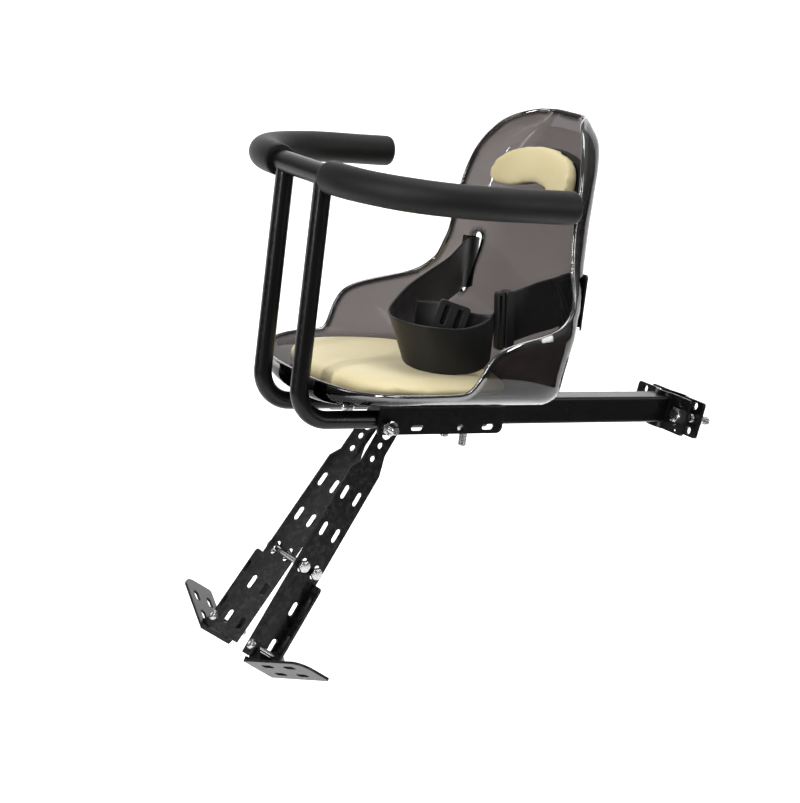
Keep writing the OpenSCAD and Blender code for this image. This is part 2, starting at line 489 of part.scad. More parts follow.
module hinge_screw_body() hinge_frame() translate([-leg_hw - 0.1, 0, 0]) rotate([0, 90, 0]) {
  translate([0, 0, -3.2]) cylinder(r1 = 3.6, r2 = 5, h = 3.2, $fn = 32);
  translate([0, 0, -0.01]) cylinder(r = 2.5, h = 2 * leg_hw + 7, $fn = 32);
}
module left_hinge_screw() color(zinc) mirror([0, 1, 0]) hinge_screw_body();
module right_hinge_screw() color(zinc) hinge_screw_body();
module hinge_nuts() color(zinc) for (m = [0, 1]) mirror([0, m, 0]) hinge_frame() translate([leg_hw + 0.1, 0, 0]) rotate([0, 90, 0]) nut(2.5, 8, 4);

beam();
beam_end_plug();
clamp_rear_half();
clamp_bolts();
clamp_nuts();
pivot_bolt();
pivot_spacers();
pivot_nut();
seat_bracket();
lock_bolts();
lock_washers();
lock_nuts();
handrail_bolts();
handrail_nuts();
handrail();
left_foam_grip();
right_foam_grip();
seat_shell();
seat_screws();
seat_screw_washers();
seat_screw_nuts();
seat_cushion();
head_cushion();
head_cushion_base();
right_belt_strap();
left_belt_strap();
belt_tail();
buckle_socket();
buckle_tongue();
belt_slider();
left_leg();
right_leg();
leg_bolts();
leg_nuts();
left_footrest();
right_footrest();
left_hinge_screw();
right_hinge_screw();
hinge_nuts();
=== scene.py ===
"""Looks for a front-mounted child bicycle seat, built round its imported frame."""
import json
import math

import bmesh
import bpy
import numpy as np
import mathutils.kdtree
from mathutils import Matrix, Vector


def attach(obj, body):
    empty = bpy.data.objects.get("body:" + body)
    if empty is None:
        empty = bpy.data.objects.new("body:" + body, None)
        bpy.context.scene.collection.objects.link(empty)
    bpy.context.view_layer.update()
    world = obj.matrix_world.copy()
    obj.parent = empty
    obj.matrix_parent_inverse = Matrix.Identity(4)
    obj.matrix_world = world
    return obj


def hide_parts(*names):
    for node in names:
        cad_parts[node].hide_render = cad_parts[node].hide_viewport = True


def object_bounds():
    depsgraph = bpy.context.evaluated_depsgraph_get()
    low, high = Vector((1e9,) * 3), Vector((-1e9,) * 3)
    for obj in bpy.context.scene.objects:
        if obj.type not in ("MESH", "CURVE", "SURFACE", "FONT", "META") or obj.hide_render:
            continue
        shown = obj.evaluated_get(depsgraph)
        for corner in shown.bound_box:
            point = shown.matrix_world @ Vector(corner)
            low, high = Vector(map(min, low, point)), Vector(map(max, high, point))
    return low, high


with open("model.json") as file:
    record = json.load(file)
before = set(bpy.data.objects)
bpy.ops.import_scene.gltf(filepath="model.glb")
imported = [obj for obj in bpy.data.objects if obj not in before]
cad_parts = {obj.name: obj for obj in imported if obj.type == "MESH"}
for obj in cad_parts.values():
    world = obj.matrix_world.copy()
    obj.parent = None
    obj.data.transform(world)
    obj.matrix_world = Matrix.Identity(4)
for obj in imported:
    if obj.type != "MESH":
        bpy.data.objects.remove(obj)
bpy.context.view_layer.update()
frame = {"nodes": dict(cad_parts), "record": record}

nodes = frame["nodes"]
scene = bpy.context.scene
MM = 0.001

# ------------------------------------------------------------------ camera
PSI, ELEV, ROLL = math.radians(32.0), math.radians(12.485), math.radians(7.218)
view_d = Vector((math.sin(PSI) * math.cos(ELEV), math.cos(PSI) * math.cos(ELEV), -math.sin(ELEV)))
right = Vector((math.cos(PSI), -math.sin(PSI), 0))
up = right.cross(view_d)
cam_x = math.cos(ROLL) * right + math.sin(ROLL) * up
cam_y = -math.sin(ROLL) * right + math.cos(ROLL) * up
cam_data = bpy.data.cameras.new("camera")
cam_data.sensor_fit = "HORIZONTAL"
cam_data.sensor_width = 36.0
cam_data.lens = 99.14
cam_data.clip_start, cam_data.clip_end = 0.05, 100
cam = bpy.data.objects.new("camera", cam_data)
scene.collection.objects.link(cam)
rot = Matrix((cam_x, cam_y, -view_d)).transposed()
cam.matrix_world = Matrix.Translation(Vector((-1.32798, -1.63670, 0.43426))) @ rot.to_4x4()
scene.camera = cam


# ------------------------------------------------------------------ materials
def tree_of(name):
    m = bpy.data.materials.new(name)
    m.use_nodes = True
    t = m.node_tree
    b = t.nodes["Principled BSDF"]
    return m, t, b


def add(t, kind, **values):
    n = t.nodes.new(kind)
    for k, v in values.items():
        if k in n.inputs:
            n.inputs[k].default_value = v
        else:
            setattr(n, k, v)
    return n


def obj_coords(t, scale=(1, 1, 1)):
    tc = add(t, "ShaderNodeTexCoord")
    mp = add(t, "ShaderNodeMapping")
    mp.inputs["Scale"].default_value = scale
    t.links.new(tc.outputs["Object"], mp.inputs["Vector"])
    return mp.outputs["Vector"]


def noise(t, vec, scale, detail=3.0, rough=0.5, distort=0.0):
    n = add(t, "ShaderNodeTexNoise")
    n.inputs["Scale"].default_value = scale
    n.inputs["Detail"].default_value = detail
    n.inputs["Roughness"].default_value = rough
    n.inputs["Distortion"].default_value = distort
    t.links.new(vec, n.inputs["Vector"])
    return n.outputs["Fac"]


def ramp(t, fac, stops):
    r = add(t, "ShaderNodeValToRGB")
    e = r.color_ramp.elements
    while len(e) < len(stops):
        e.new(0.5)
    for el, (p, c) in zip(e, stops):
        el.position = p
        el.color = (c, c, c, 1) if isinstance(c, (int, float)) else (*c, 1)
    t.links.new(fac, r.inputs["Fac"])
    return r.outputs["Color"]


def maths(t, op, a, b=None, clamp=False):
    n = add(t, "ShaderNodeMath", operation=op, use_clamp=clamp)
    for i, v in enumerate((a, b)):
        if v is None:
            continue
        if isinstance(v, (int, float)):
            n.inputs[i].default_value = v
        else:
            t.links.new(v, n.inputs[i])
    return n.outputs[0]


def mix(t, fac, a, b, blend="MIX"):
    n = add(t, "ShaderNodeMix", data_type="RGBA", blend_type=blend)
    for s, v in ((0, fac), (6, a), (7, b)):
        if hasattr(v, "is_output"):
            t.links.new(v, n.inputs[s])
        elif isinstance(v, (int, float)):
            n.inputs[s].default_value = v
        else:
            n.inputs[s].default_value = (*v, 1)
    return n.outputs[2]


def bump(t, b, height, strength, dist, chain=None):
    n = add(t, "ShaderNodeBump")
    n.inputs["Strength"].default_value = strength
    n.inputs["Distance"].default_value = dist
    t.links.new(height, n.inputs["Height"])
    if chain is not None:
        t.links.new(chain, n.inputs["Normal"])
    t.links.new(n.outputs["Normal"], b.inputs["Normal"])
    return n.outputs["Normal"]


def black_paint(name, rough=0.27, edge=0.2):
    """Gloss powder coat: faint orange peel, dust in places and edges rubbed a little paler."""
    m, t, b = tree_of(name)
    v = obj_coords(t)
    cloud = noise(t, v, 22, 4, 0.6)
    geo = add(t, "ShaderNodeNewGeometry")
    wear = ramp(t, geo.outputs["Pointiness"], [(0.52, 0.0), (0.60, 1.0)])
    scuff = ramp(t, noise(t, v, 190, 4, 0.7), [(0.46, 0.0), (0.66, 1.0)])
    worn = maths(t, "MULTIPLY", wear, maths(t, "MULTIPLY", scuff, edge))
    base = mix(t, cloud, (0.0030, 0.0030, 0.0032), (0.0048, 0.0047, 0.0046))
    t.links.new(mix(t, worn, base, (0.09, 0.09, 0.092)), b.inputs["Base Color"])
    r = maths(t, "MULTIPLY_ADD", ramp(t, noise(t, v, 60, 5, 0.65), [(0.3, 0.0), (0.75, 1.0)]), 0.03)
    r.node.inputs[2].default_value = rough
    t.links.new(r, b.inputs["Roughness"])
    peel = noise(t, v, 620, 2, 0.4)
    bump(t, b, peel, 0.05, 0.0002)
    b.inputs["Specular IOR Level"].default_value = 0.21
    return m


def zinc(name):
    """Bright zinc plate: metallic, lathe lines round each part, a slightly cloudy film."""
    m, t, b = tree_of(name)
    v = obj_coords(t)
    film = noise(t, v, 120, 4, 0.6)
    t.links.new(mix(t, film, (0.40, 0.40, 0.41), (0.56, 0.56, 0.555)), b.inputs["Base Color"])
    b.inputs["Metallic"].default_value = 1.0
    r = maths(t, "MULTIPLY_ADD", noise(t, v, 420, 5, 0.7), 0.22)
    r.node.inputs[2].default_value = 0.14
    t.links.new(r, b.inputs["Roughness"])
    bump(t, b, noise(t, v, 1500, 3, 0.6), 0.25, 0.00012)
    return m


def plastic(name, col=(0.005, 0.005, 0.0055), rough=0.42):
    """Moulded plastic with a fine spark-eroded grain."""
    m, t, b = tree_of(name)
    v = obj_coords(t)
    t.links.new(mix(t, noise(t, v, 40, 3), col, tuple(c * 1.7 for c in col)), b.inputs["Base Color"])
    r = maths(t, "MULTIPLY_ADD", noise(t, v, 90, 4), 0.2)
    r.node.inputs[2].default_value = rough - 0.08
    t.links.new(r, b.inputs["Roughness"])
    bump(t, b, noise(t, v, 2600, 2, 0.5), 0.22, 0.00012)
    return m


def foam_mat(name):
    """Closed-cell foam skin: fine cells, soft sheen, faint handling marks."""
    m, t, b = tree_of(name)
    v = obj_coords(t)
    cells = add(t, "ShaderNodeTexVoronoi")
    cells.inputs["Scale"].default_value = 1500
    t.links.new(v, cells.inputs["Vector"])
    cloud = noise(t, v, 30, 4, 0.6)
    t.links.new(mix(t, cloud, (0.0042, 0.0042, 0.0044), (0.0075, 0.0073, 0.0072)), b.inputs["Base Color"])
    r = maths(t, "MULTIPLY_ADD", noise(t, v, 55, 5, 0.6), 0.16)
    r.node.inputs[2].default_value = 0.46
    t.links.new(r, b.inputs["Roughness"])
    n1 = bump(t, b, cells.outputs["Distance"], 0.35, 0.00018)
    bump(t, b, noise(t, v, 130, 3, 0.5), 0.12, 0.0008, n1)
    b.inputs["Specular IOR Level"].default_value = 0.22
    b.inputs["Sheen Weight"].default_value = 0.012
    b.inputs["Sheen Roughness"].default_value = 0.4
    return m


def clear_mat(name):
    """Smoke-grey acrylic: clear, tinted through its depth, polished, with a little dust and fine scratches; its
    rim, slot edges and foot get a darker base colour as painted shade.
    """
    m, t, b = tree_of(name)
    v = obj_coords(t)
    at = add(t, "ShaderNodeAttribute", attribute_type="GEOMETRY", attribute_name="edge_near")
    ft_ = add(t, "ShaderNodeAttribute", attribute_type="GEOMETRY", attribute_name="foot")
    # painted shade: the base colour is much darker round the foot (attribute foot)
    body = mix(t, ft_.outputs["Fac"], (0.97, 0.965, 0.96), (0.30, 0.29, 0.285))
    # painted shade: the base colour darkens towards the rim and the slot edges (edge_near)
    t.links.new(mix(t, at.outputs["Fac"], body, (0.10, 0.095, 0.095)), b.inputs["Base Color"])
    ior = maths(t, "MULTIPLY_ADD", ft_.outputs["Fac"], -0.33)
    ior.node.inputs[2].default_value = 1.49
    t.links.new(ior, b.inputs["IOR"])
    b.inputs["Transmission Weight"].default_value = 1.0
    t.links.new(maths(t, "MULTIPLY", at.outputs["Fac"], 0.9), b.inputs["Coat Weight"])
    b.inputs["Coat Roughness"].default_value = 0.05
    b.inputs["Coat IOR"].default_value = 2.2
    scratch = noise(t, obj_coords(t, (1, 1, 0.12)), 700, 3, 0.6)
    r = maths(t, "MULTIPLY_ADD", ramp(t, scratch, [(0.62, 0.0), (0.8, 1.0)]), 0.06)
    r.node.inputs[2].default_value = 0.012
    t.links.new(r, b.inputs["Roughness"])
    bump(t, b, noise(t, v, 18, 2, 0.4), 0.05, 0.0006)
    vol = add(t, "ShaderNodeVolumeAbsorption")
    vol.inputs["Color"].default_value = (0.169, 0.122, 0.115, 1)
    vol.inputs["Density"].default_value = 590.0
    t.links.new(vol.outputs["Volume"], t.nodes["Material Output"].inputs["Volume"])
    return m


def cushion_mat(name):
    """Cream coated cloth: soft grain, gentle blotches, a dull sheen."""
    m, t, b = tree_of(name)
    v = obj_coords(t)
    cloud = noise(t, v, 14, 4, 0.6)
    col = mix(t, ramp(t, cloud, [(0.3, 0.0), (0.72, 1.0)]), (0.60, 0.515, 0.285), (0.67, 0.585, 0.345))
    leather = add(t, "ShaderNodeTexVoronoi", feature="DISTANCE_TO_EDGE")
    leather.inputs["Scale"].default_value = 820
    warped = add(t, "ShaderNodeMix", data_type="VECTOR")
    warped.inputs[0].default_value = 0.0015
    nv = add(t, "ShaderNodeTexNoise")
    nv.inputs["Scale"].default_value = 160
    t.links.new(v, nv.inputs["Vector"])
    t.links.new(v, warped.inputs[4])
    t.links.new(nv.outputs["Color"], warped.inputs[5])
    t.links.new(warped.outputs[1], leather.inputs["Vector"])
    crease = ramp(t, leather.outputs["Distance"], [(0.0, 0.0), (0.16, 1.0)])
    # painted shade: the grain's creases are a little darker in the base colour
    t.links.new(mix(t, crease, mix(t, 0.12, col, (0.35, 0.28, 0.14)), col), b.inputs["Base Color"])
    r = maths(t, "MULTIPLY_ADD", noise(t, v, 60, 4), 0.14)
    r.node.inputs[2].default_value = 0.50
    t.links.new(r, b.inputs["Roughness"])
    n1 = bump(t, b, crease, 0.35, 0.00018)
    bump(t, b, noise(t, v, 45, 3, 0.5), 0.25, 0.0012, n1)
    b.inputs["Sheen Weight"].default_value = 0.25
    b.inputs["Sheen Roughness"].default_value = 0.5
    b.inputs["Sheen Tint"].default_value = (1.0, 0.95, 0.82, 1)
    b.inputs["Subsurface Weight"].default_value = 0.06
    b.inputs["Subsurface Radius"].default_value = (0.004, 0.003, 0.0015)
    b.inputs["Subsurface Scale"].default_value = 1.0
    return m


def web_mat(name):
    """Black satin webbing. web_uv holds millimetres along (x) and across (y) the strap."""
    m, t, b = tree_of(name)
    at = add(t, "ShaderNodeAttribute", attribute_type="GEOMETRY", attribute_name="web_uv")
    sep = add(t, "ShaderNodeSeparateXYZ")
    t.links.new(at.outputs["Vector"], sep.inputs[0])
    u, w = sep.outputs["X"], sep.outputs["Y"]
    # warp yarns, 1.1 mm apart, each pick 1.5 mm long, in herringbone
    yarn = maths(t, "MULTIPLY", w, 1 / 1.1)
    yidx = maths(t, "FLOOR", yarn)
    half = maths(t, "FRACT", yarn)
    shift = maths(t, "MULTIPLY", yidx, 0.5)
    pick = maths(t, "FRACT", maths(t, "ADD", maths(t, "MULTIPLY", u, 1 / 1.5), shift))
    across = maths(t, "SINE", maths(t, "MULTIPLY", half, math.pi))
    along = maths(t, "SINE", maths(t, "MULTIPLY", pick, math.pi))
    h = maths(t, "MULTIPLY", maths(t, "POWER", across, 0.6), maths(t, "MULTIPLY_ADD", along, 0.55))
    h.node.inputs[1].default_value = 1.0
    prod = maths(t, "MULTIPLY", maths(t, "POWER", across, 0.6), maths(t, "ADD", maths(t, "MULTIPLY", along, 0.55), 0.45))
    v = obj_coords(t)
    fuzz = noise(t, v, 260, 4, 0.6)
    # painted shade: the colour follows the yarn height, darker between the yarns and paler on their crowns
    col = mix(t, prod, (0.0025, 0.0025, 0.003), (0.0075, 0.0075, 0.008))
    t.links.new(mix(t, maths(t, "MULTIPLY", fuzz, 0.35), col, (0.011, 0.011, 0.0115)), b.inputs["Base Color"])
    r = maths(t, "MULTIPLY_ADD", fuzz, 0.15)
    r.node.inputs[2].default_value = 0.36
    t.links.new(r, b.inputs["Roughness"])
    bump(t, b, prod, 0.30, 0.00022)
    b.inputs["Specular IOR Level"].default_value = 0.42
    b.inputs["Sheen Weight"].default_value = 0.03
    b.inputs["Sheen Roughness"].default_value = 0.35
    return m


M = {
    "black_paint": black_paint("black_paint"),
    "zinc": zinc("zinc"),
    "black_plastic": plastic("black_plastic"),
    "foam": foam_mat("foam"),
    "clear_smoke": clear_mat("clear_smoke"),
    "cream_fabric": cushion_mat("cream_fabric"),
    "webbing": web_mat("webbing"),
    "thread": plastic("thread", (0.02, 0.02, 0.021), 0.5),
}
slot_of = {s["node"]: s["material_slot"] for s in frame["record"]["subparts"]}


# ------------------------------------------------------------------ helpers
def make(name, verts, faces, mat, body, replaces=(), smooth=True, angle=None):
    me = bpy.data.meshes.new(name)
    me.from_pydata((np.asarray(verts, float) * MM).tolist(), [], [tuple(int(i) for i in f) for f in faces])
    me.validate()
    me.update()
    o = bpy.data.objects.new(name, me)
    scene.collection.objects.link(o)
    if smooth:
        me.polygons.foreach_set("use_smooth", [True] * len(me.polygons))
        if angle is not None:
            me.set_sharp_from_angle(angle=math.radians(angle))
    me.materials.append(mat)
    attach(o, body)
    if replaces:
        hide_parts(*replaces)
    return o


def grid_faces(nu, nv, close_u=False, close_v=False, flip=False):
    f = []
    for i in range(nu if close_u else nu - 1):
        for j in range(nv if close_v else nv - 1):
            a, b_ = i * nv + j, ((i + 1) % nu) * nv + j
            c, d = ((i + 1) % nu) * nv + (j + 1) % nv, i * nv + (j + 1) % nv
            f.append((a, d, c, b_) if flip else (a, b_, c, d))
    return f


def frames_along(p):
    """Unit tangent, and two unit normals carried along the path without twist."""
    p = np.asarray(p, float)
    t = np.gradient(p, axis=0)
    t /= np.linalg.norm(t, axis=1)[:, None]
    n = np.zeros_like(p)
    ref = np.array([0, 0, 1.0]) if abs(t[0, 2]) < 0.9 else np.array([1.0, 0, 0])
    n[0] = np.cross(t[0], np.cross(ref, t[0]))
    n[0] /= np.linalg.norm(n[0])
    for i in range(1, len(p)):
        v = n[i - 1] - (n[i - 1] @ t[i]) * t[i]
        n[i] = v / np.linalg.norm(v)
    return t, n, np.cross(t, n)


def resample(p, step):
    p = np.asarray(p, float)
    s = np.r_[0, np.cumsum(np.linalg.norm(np.diff(p[:, :3], axis=0), axis=1))]
    n = max(2, int(round(s[-1] / step)) + 1)
    q = np.linspace(0, s[-1], n)
    return np.stack([np.interp(q, s, p[:, k]) for k in range(p.shape[1])], 1), q


def smooth_path(p, step, dense=24):
    """Catmull-Rom through the rows of p, resampled evenly."""
    p = np.asarray(p, float)
    q = np.vstack([2 * p[0] - p[1], p, 2 * p[-1] - p[-2]])
    out = []
    for i in range(1, len(q) - 2):
        for k in range(dense):
            u = k / dense
            out.append(0.5 * ((2 * q[i]) + (-q[i - 1] + q[i + 1]) * u + (2 * q[i - 1] - 5 * q[i] + 4 * q[i + 1] - q[i + 2]) * u * u
                              + (-q[i - 1] + 3 * q[i] - 3 * q[i + 1] + q[i + 2]) * u ** 3))
    out.append(q[-2])
    return resample(np.array(out), step)


# ------------------------------------------------------------------ CAD nodes that stay
def dress(name, width=0.35):
    """A carried-over CAD node: its own material and softly broken edges."""
    o = nodes[name]
    o.data.materials.clear()
    o.data.materials.append(M[slot_of[name]])
    w = o.modifiers.new("weld", "WELD")
    w.merge_threshold = 0.00001
    d = o.modifiers.new("flat", "DECIMATE")
    d.decimate_type = "DISSOLVE"
    d.angle_limit = math.radians(0.6)
    b = o.modifiers.new("edge", "BEVEL")
    b.width = width * MM
    b.segments = 2
    b.limit_method = "ANGLE"
    b.angle_limit = math.radians(34)
    b.harden_normals = True
    b.miter_outer = "MITER_ARC"
    o.data.polygons.foreach_set("use_smooth", [True] * len(o.data.polygons))
    o.data.set_sharp_from_angle(angle=math.radians(40))
    if "custom_normal" in o.data.attributes:
        o.data.attributes.remove(o.data.attributes["custom_normal"])


for n in ("beam", "clamp_rear_half", "seat_bracket", "left_leg", "right_leg", "left_footrest", "right_footrest", "beam_end_plug",
          "buckle_socket", "buckle_tongue", "belt_slider", "handrail"):
    dress(n)
for n in ("pivot_spacers", "lock_washers", "seat_screw_washers"):
    dress(n, 0.2)
dress("head_cushion_base", 0.05)


# ------------------------------------------------------------------ fasteners
def lathe(profile, n=40):
    """Closed solid of revolution about +Z from (r, z) rows that start and end at r = 0."""
    v, f = [], []
    rows = []
    for r, z in profile:
        if r < 1e-9:
            rows.append([len(v)])
            v.append((0, 0, z))
        else:
            rows.append(list(range(len(v), len(v) + n)))
            v += [(r * math.cos(2 * math.pi * i / n), r * math.sin(2 * math.pi * i / n), z) for i in range(n)]
    for a, b_ in zip(rows, rows[1:]):
        for i in range(n):
            j = (i + 1) % n
            if len(a) == 1:
                f.append((a[0], b_[j], b_[i]))
            elif len(b_) == 1:
                f.append((a[i], a[j], b_[0]))
            else:
                f.append((a[i], a[j], b_[j], b_[i]))
    return v, f


def threaded(r, pitch, z0, z1, plain_from, n=28):
    """A threaded shank from z0 (inside the head) to z1, its thread starting at plain_from, with a chamfered tip. Closed."""
    depth = 0.55 * pitch
    steps = max(3, int((z1 - plain_from) / pitch * 8))
    v, rows = [(0, 0, z0)], []

    def ring(zs, rs):
        rows.append(list(range(len(v), len(v) + n)))
        for i in range(n):
            a = 2 * math.pi * i / n
            v.append((rs[i] * math.cos(a), rs[i] * math.sin(a), zs[i]))

    ring([z0] * n, [r] * n)
    ring([plain_from] * n, [r] * n)
    for k in range(1, steps + 1):
        z = plain_from + (z1 - plain_from) * k / steps
        rs = []
        for i in range(n):
            ph = (z / pitch + i / n) % 1.0
            tri = abs(2 * ph - 1)
            cut = depth * min(1, max(0, (tri - 0.12) / 0.7))
            fade = min(1, (z - plain_from) / pitch)
            tip = max(0, (z - (z1 - 0.9)))
            rs.append(min(r - cut * fade, r - tip * 0.85))
        ring([z] * n, rs)
    v.append((0, 0, z1))
    f = []
    for i in range(n):
        j = (i + 1) % n
        f.append((0, rows[0][j], rows[0][i]))
        f.append((rows[-1][i], rows[-1][j], len(v) - 1))
    for a, b_ in zip(rows, rows[1:]):
        for i in range(n):
            j = (i + 1) % n
            f.append((a[i], a[j], b_[j], b_[i]))
    return v, f


def hexagon(af, z0, z1, hole=0.0, cham=0.5, n=60, both=True):
    """A hexagon of that width across flats, its ends cut by the usual 30 degree chamfer. With hole it is a nut."""
    rows = []

    def radius(i, z):
        a = (i / n * 360 + 30) % 60 - 30
        rh = af / 2 / math.cos(math.radians(a))
        edge = af / 2 * 0.985
        lim = 1e9
        for zc, on in ((z1 - z, True), (z - z0, both)):
            if on:
                lim = min(lim, edge + zc * 1.73)
        return min(rh, lim)

    zs = [z0, z0 + 0.15, z0 + 0.45, z0 + 0.9, (z0 + z1) / 2, z1 - 0.9, z1 - 0.45, z1 - 0.15, z1]
    v, f = [], []
    for z in zs:
        rows.append(list(range(len(v), len(v) + n)))
        v += [(radius(i, z) * math.cos(2 * math.pi * i / n), radius(i, z) * math.sin(2 * math.pi * i / n), z) for i in range(n)]
    for a, b_ in zip(rows, rows[1:]):
        for i in range(n):
            j = (i + 1) % n
            f.append((a[i], a[j], b_[j], b_[i]))
    if hole > 0:
        inner = []
        for z, rr in ((z0, hole + 0.35), (z0 + 0.35, hole), (z1 - 0.35, hole), (z1, hole + 0.35)):
            inner.append(list(range(len(v), len(v) + n)))
            v += [(rr * math.cos(2 * math.pi * i / n), rr * math.sin(2 * math.pi * i / n), z) for i in range(n)]
        for a, b_ in zip(inner, inner[1:]):
            for i in range(n):
                j = (i + 1) % n
                f.append((a[j], a[i], b_[i], b_[j]))
        for i in range(n):
            j = (i + 1) % n
            f.append((rows[0][j], rows[0][i], inner[0][i], inner[0][j]))
            f.append((rows[-1][i], rows[-1][j], inner[-1][j], inner[-1][i]))
    else:
        c0, c1 = len(v), len(v) + 1
        v += [(0, 0, z0), (0, 0, z1)]
        for i in range(n):
            j = (i + 1) % n
            f.append((rows[0][j], rows[0][i], c0))
            f.append((rows[-1][i], rows[-1][j], c1))
    return v, f


def placed(parts):
    """Joins [(verts, faces, 4x4)] into one vertex and face list."""
    V, F = [], []
    for v, f, m in parts:
        base = len(V)
        V += [tuple(m @ Vector(p)) for p in v]
        F += [tuple(i + base for i in face) for face in f]
    return V, F


def T(x, y, z):
    return Matrix.Translation((x, y, z))


def R(a, axis):
    return Matrix.Rotation(math.radians(a), 4, axis)


MIRROR_Y = Matrix.Diagonal((1, -1, 1, 1))
LEAN, CLAMP_MID, POST = 9.7, -3.3, R(9.7, "Y")
LEG = T(-315, 0, -1) @ R(30, "Y")
LEG_LOW = LEG @ T(0, 16.25, -15) @ R(3.7, "X") @ T(0, 0, 15)


def bolt_mesh(r, length, af, hh, pitch, plain):
    head = hexagon(af, -hh, 0, 0, both=False)
    # the chamfer belongs on the head's outer face
    head = ([(x, y, -hh - z) for x, y, z in head[0]], [tuple(reversed(q)) for q in head[1]])
    return head, threaded(r, pitch, -0.3, length, plain)


def fastener(name, parts, body, node, angle=35):
    V, F = placed(parts)
    o = make(name, V, F, M["zinc"], body, (node,), angle=angle)
    return o


def set_of(mesh_list, mats):
    return [(v, f, m) for m in mats for v, f in mesh_list]


fastener("clamp_bolts_detail", set_of(bolt_mesh(4, 38, 13, 5.3, 1.25, 14), [POST @ T(-10.2, y, CLAMP_MID) @ R(90, "Y") for y in (-29, 29)]), "root", "clamp_bolts")
fastener("clamp_nuts_detail", set_of([hexagon(13, 0, 6.5, 4.05)], [POST @ T(10.2, y, CLAMP_MID) @ R(90, "Y") for y in (-29, 29)]), "root", "clamp_nuts")
fastener("pivot_bolt_detail", set_of(bolt_mesh(4, 42.5, 13, 5.3, 1.25, 33), [T(-315, -17.7, -1) @ R(-90, "X")]), "root", "pivot_bolt")
fastener("pivot_nut_detail", set_of([hexagon(13, 0, 6.3, 4.05)], [T(-315, 17.7, -1) @ R(-90, "X")]), "root", "pivot_nut")
TOP_Z = 12.8
DECK = TOP_Z + 2.4
FLOOR_Z = DECK + 4
lock = []
for x, extra in ((-253.5, 0), (-233, 9)):
    lock += set_of([lathe([(0, -0.9), (6, -0.9), (8.2, -0.75), (9, -0.3), (9, 0), (4, 0), (0, 0.2)]), threaded(4, 1.25, -0.3, DECK + 26 + extra, 22)], [T(x, 0, DECK) @ R(180, "X")])
fastener("lock_bolts_detail", lock, "seat", "lock_bolts")
fastener("lock_nuts_detail", set_of([hexagon(13, 0, 6.5, 4.05)], [T(x, 0, -21) for x in (-253.5, -233)]), "seat", "lock_nuts")
hb = [lathe([(0, -3.4), (2.5, -3.3), (5, -2.6), (6.2, -1.4), (6.5, 0), (4, 0), (0, 0.2)]), threaded(4, 1.25, -0.3, 33.9, 17)]
side = T(-343, 34.4 - 8, -4) @ R(-90, "X")
fastener("handrail_bolts_detail", set_of(hb, [side, R(180, "Z") @ T(343, 34.4 - 8, -4) @ R(-90, "X")]), "seat", "handrail_bolts")
fastener("handrail_nuts_detail", set_of([hexagon(13, 0, 6.5, 4.05)], [T(-343, s, -4) @ R(-90, "X") for s in (45.5, -52)]), "seat", "handrail_nuts")
scr = [lathe([(0, -2.3), (1.2, -2.3), (1.9, -2.6), (4.4, -2.6), (5.2, -1.6), (6, 0), (3, 0), (0, 0.2)]), threaded(3, 1.0, -0.3, 14.3, 2)]
fastener("seat_screws_detail", set_of(scr, [T(x, y, FLOOR_Z + 2.25) @ R(180, "X") for x in (-283, -243) for y in (-22, 22)]), "seat", "seat_screws")
fastener("seat_nuts_detail", set_of([hexagon(10, 0, 5, 3.05)], [T(x, y, TOP_Z - 5) for x in (-283, -243) for y in (-22, 22)]), "seat", "seat_screw_nuts")
D3 = 83.9 + 2 * 37.2
TIE = 16.25 + (D3 - 15) * math.tan(math.radians(3.7)) + 1.25 + 1
fastener("leg_bolts_detail", set_of(bolt_mesh(2.7, 2 * TIE + 9, 10, 4, 1.0, 50), [LEG @ T(x, -TIE, -D3) @ R(-90, "X") for x in (-7.6, 7.6)]), "legs", "leg_bolts")
fastener("leg_nuts_detail", set_of([hexagon(10, 0, 5, 2.75)], [LEG @ T(x, TIE, -D3) @ R(-90, "X") for x in (-7.6, 7.6)]), "legs", "leg_nuts")
HINGE = LEG_LOW @ T(0, 7.4, -240)
hs = [lathe([(0, -2.6), (1.1, -2.6), (1.7, -3.2), (3.6, -3.2), (4.4, -2.4), (5, 0), (2.5, 0), (0, 0.2)]), threaded(2.5, 0.8, -0.3, 2 * 15.6 + 7, 29)]
base = HINGE @ T(-15.7, 0, 0) @ R(90, "Y")
fastener("right_hinge_screw_detail", set_of(hs, [base]), "legs", "right_hinge_screw")


def flipped(mesh_list):
    return [([(x, -y, z) for x, y, z in v], [tuple(reversed(q)) for q in f]) for v, f in mesh_list]


def mirrored(parts):
    """The same parts reflected in the plane y = 0, with faces turned to stay outward."""
    out = []
    for v, f, m in parts:
        out.append(([tuple(MIRROR_Y @ (m @ Vector(p))) for p in v], [tuple(reversed(q)) for q in f], Matrix.Identity(4)))
    return out


fastener("left_hinge_screw_detail", mirrored(set_of(hs, [base])), "legs", "left_hinge_screw")
nutp = set_of([hexagon(8, 0, 4, 2.55)], [HINGE @ T(15.7, 0, 0) @ R(90, "Y")])
fastener("hinge_nuts_detail", nutp + mirrored(nutp), "legs", "hinge_nuts")

# ------------------------------------------------------------------ clear shell
CX, SB, AF, SHELL_T = -310.0, 136.0, 108.0, 4.0


def table(rows):
    a = np.array(rows, float)

    def f(z):
        # smooth monotone curve through the rows
        x, y = a[:, 0], a[:, 1]
        z = np.clip(np.asarray(z, float), x[0], x[-1])
        h = np.diff(x)
        dl = np.diff(y) / h
        m = np.zeros(len(x))
        m[1:-1] = np.where(dl[:-1] * dl[1:] > 0, 2 * dl[:-1] * dl[1:] / np.where(dl[:-1] + dl[1:] == 0, 1, dl[:-1] + dl[1:]), 0)
        m[0], m[-1] = dl[0], dl[-1]
        i = np.clip(np.searchsorted(x, z) - 1, 0, len(h) - 1)
        u = (z - x[i]) / h[i]
        return (y[i] * (1 + 2 * u) * (1 - u) ** 2 + h[i] * m[i] * u * (1 - u) ** 2 + y[i + 1] * u * u * (3 - 2 * u) + h[i] * m[i + 1] * u * u * (u - 1))

    return f


